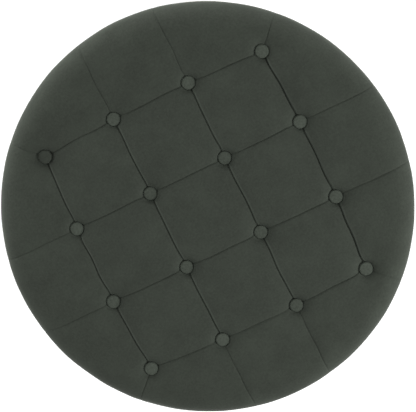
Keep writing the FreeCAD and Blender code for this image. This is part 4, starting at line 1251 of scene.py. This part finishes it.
def looking(name, data, place, right, up, back):
    """Adds a camera or lamp at a place, looking against its back direction."""
    turn = np.eye(4)
    turn[:3] = np.stack([right, up, back, place], axis=1)
    thing = bpy.data.objects.new(name, data)
    thing.matrix_world = Matrix(turn.tolist())
    bpy.context.scene.collection.objects.link(thing)
    return thing


def soft_lamp(name, place, target, width, power):
    """A square lamp that faces the target."""
    data = bpy.data.lights.new(name, "AREA")
    data.size = width
    data.energy = power
    back = (place - target) / np.linalg.norm(place - target)
    right = np.cross([0, 0, 1.0], back)
    right /= np.linalg.norm(right)
    looking(name, data, place, right, np.cross(back, right), back)


def make_stage():
    """White floor, even white surroundings, three soft lamps and the camera above the lid."""
    scene = bpy.context.scene
    stage = scene.ottoman_stage
    target = np.array([0, 0, SIDE_TOP])
    right, up, back, across, ahead, upright = view_axes(stage)
    camera = bpy.data.cameras.new("camera")
    camera.lens = stage.lens
    camera.shift_x, camera.shift_y = 0.0038, 0.0099
    place = target + back * stage.distance
    scene.camera = looking("camera", camera, place, right, up, back)

    corners = 20.0 * np.array([(-1, -1, 0), (1, -1, 0), (1, 1, 0), (-1, 1, 0)])
    floor = new_piece("floor", corners, [[(0, 1, 2, 3)]], closed=False)
    floor.data.materials.append(finish_of("white_paint"))

    world = bpy.data.worlds.new("studio")
    world.use_nodes = True
    background = world.node_tree.nodes["Background"].inputs
    background["Color"].default_value = (1, 1, 1, 1)
    background["Strength"].default_value = 0.79
    scene.world = world
    scene.view_settings.view_transform = "Standard"
    for name, right_by, ahead_by, above, width, power in (
        ("rear_lamp", -1.2, 3.0, 0.4, 0.9, 95.0),
        ("left_lamp", -3.0, 0.2, 0.9, 0.9, 50.0),
        ("right_lamp", 2.8, -0.7, 1.5, 1.4, 95.0),
    ):
        place = across * right_by + ahead * ahead_by + upright * above
        soft_lamp(name, place, target, width, power)


# ------------------------------------------------------------------------------ operators


class Step:
    """What every operator does: it runs its own build function."""

    def execute(self, context):
        self.build()
        return {"FINISHED"}


class OTTOMAN_OT_stage(Step, bpy.types.Operator):
    """Add the floor, lamps and camera"""

    bl_idname = "ottoman.stage"
    bl_label = "Stage"
    build = staticmethod(make_stage)


class OTTOMAN_OT_lid_cover(Step, bpy.types.Operator):
    """Add the buttoned velvet cover of the lid"""

    bl_idname = "ottoman.lid_cover"
    bl_label = "Lid cover"
    build = staticmethod(make_lid_cover)


class OTTOMAN_OT_lid_filling(Step, bpy.types.Operator):
    """Add the wadding and foam of the lid"""

    bl_idname = "ottoman.lid_filling"
    bl_label = "Lid filling"
    build = staticmethod(make_lid_filling)


class OTTOMAN_OT_buttons(Step, bpy.types.Operator):
    """Add the sixteen velvet-covered buttons"""

    bl_idname = "ottoman.buttons"
    bl_label = "Buttons"
    build = staticmethod(make_buttons)


class OTTOMAN_OT_twine(Step, bpy.types.Operator):
    """Add the twine that holds the buttons down"""

    bl_idname = "ottoman.twine"
    bl_label = "Tufting twine"
    build = staticmethod(make_twine)


class OTTOMAN_OT_drum_cover(Step, bpy.types.Operator):
    """Add the velvet round the drum"""

    bl_idname = "ottoman.drum_cover"
    bl_label = "Drum cover"
    build = staticmethod(make_drum_cover)


class OTTOMAN_OT_drum_wadding(Step, bpy.types.Operator):
    """Add the wadding under the drum's velvet"""

    bl_idname = "ottoman.drum_wadding"
    bl_label = "Drum wadding"
    build = staticmethod(make_drum_wadding)


class OTTOMAN_OT_linings(Step, bpy.types.Operator):
    """Add the lining of the storage space"""

    bl_idname = "ottoman.linings"
    bl_label = "Storage linings"
    build = staticmethod(make_linings)


class OTTOMAN_OT_underlinings(Step, bpy.types.Operator):
    """Add the black underlinings of the lid and base"""

    bl_idname = "ottoman.underlinings"
    bl_label = "Underlinings"
    build = staticmethod(make_underlinings)


class OTTOMAN_OT_woodwork(Step, bpy.types.Operator):
    """Finish the feet, boards, wall, battens and posts"""

    bl_idname = "ottoman.woodwork"
    bl_label = "Woodwork"

    def build(self):
        finish_frame("stained_beech", "plywood", "bent_plywood", "pine")


class OTTOMAN_OT_fittings(Step, bpy.types.Operator):
    """Finish the hinge, stays, fixings, glides and bumpers"""

    bl_idname = "ottoman.fittings"
    bl_label = "Fittings"

    def build(self):
        finish_frame("zinc_steel", "nylon", "rubber")


OPERATORS = (
    OTTOMAN_OT_stage,
    OTTOMAN_OT_lid_cover,
    OTTOMAN_OT_lid_filling,
    OTTOMAN_OT_buttons,
    OTTOMAN_OT_twine,
    OTTOMAN_OT_drum_wadding,
    OTTOMAN_OT_drum_cover,
    OTTOMAN_OT_linings,
    OTTOMAN_OT_underlinings,
    OTTOMAN_OT_woodwork,
    OTTOMAN_OT_fittings,
)
GROUPS = {
    "ottoman_velvet": OttomanVelvet,
    "ottoman_lid": OttomanLid,
    "ottoman_wood": OttomanWood,
    "ottoman_stage": OttomanStage,
}


class OTTOMAN_PT_build(bpy.types.Panel):
    """Sizes, colours and the steps that build the ottoman"""

    bl_idname = "OTTOMAN_PT_build"
    bl_label = "Ottoman"
    bl_space_type = "VIEW_3D"
    bl_region_type = "UI"
    bl_category = "Ottoman"

    def draw(self, context):
        for name, group in GROUPS.items():
            box = self.layout.box()
            for setting in group.__annotations__:
                box.prop(getattr(context.scene, name), setting)
        for operator in OPERATORS:
            self.layout.operator(operator.bl_idname)


def register():
    for name, group in GROUPS.items():
        bpy.utils.register_class(group)
        setattr(bpy.types.Scene, name, bpy.props.PointerProperty(type=group))
    for item in (*OPERATORS, OTTOMAN_PT_build):
        bpy.utils.register_class(item)


def unregister():
    for item in (OTTOMAN_PT_build, *reversed(OPERATORS)):
        bpy.utils.unregister_class(item)
    for name, group in reversed(GROUPS.items()):
        delattr(bpy.types.Scene, name)
        bpy.utils.unregister_class(group)


def main():
    register()
    for operator in OPERATORS:
        getattr(bpy.ops.ottoman, operator.bl_idname.split(".")[1])()


if __name__ == "__main__":
    main()
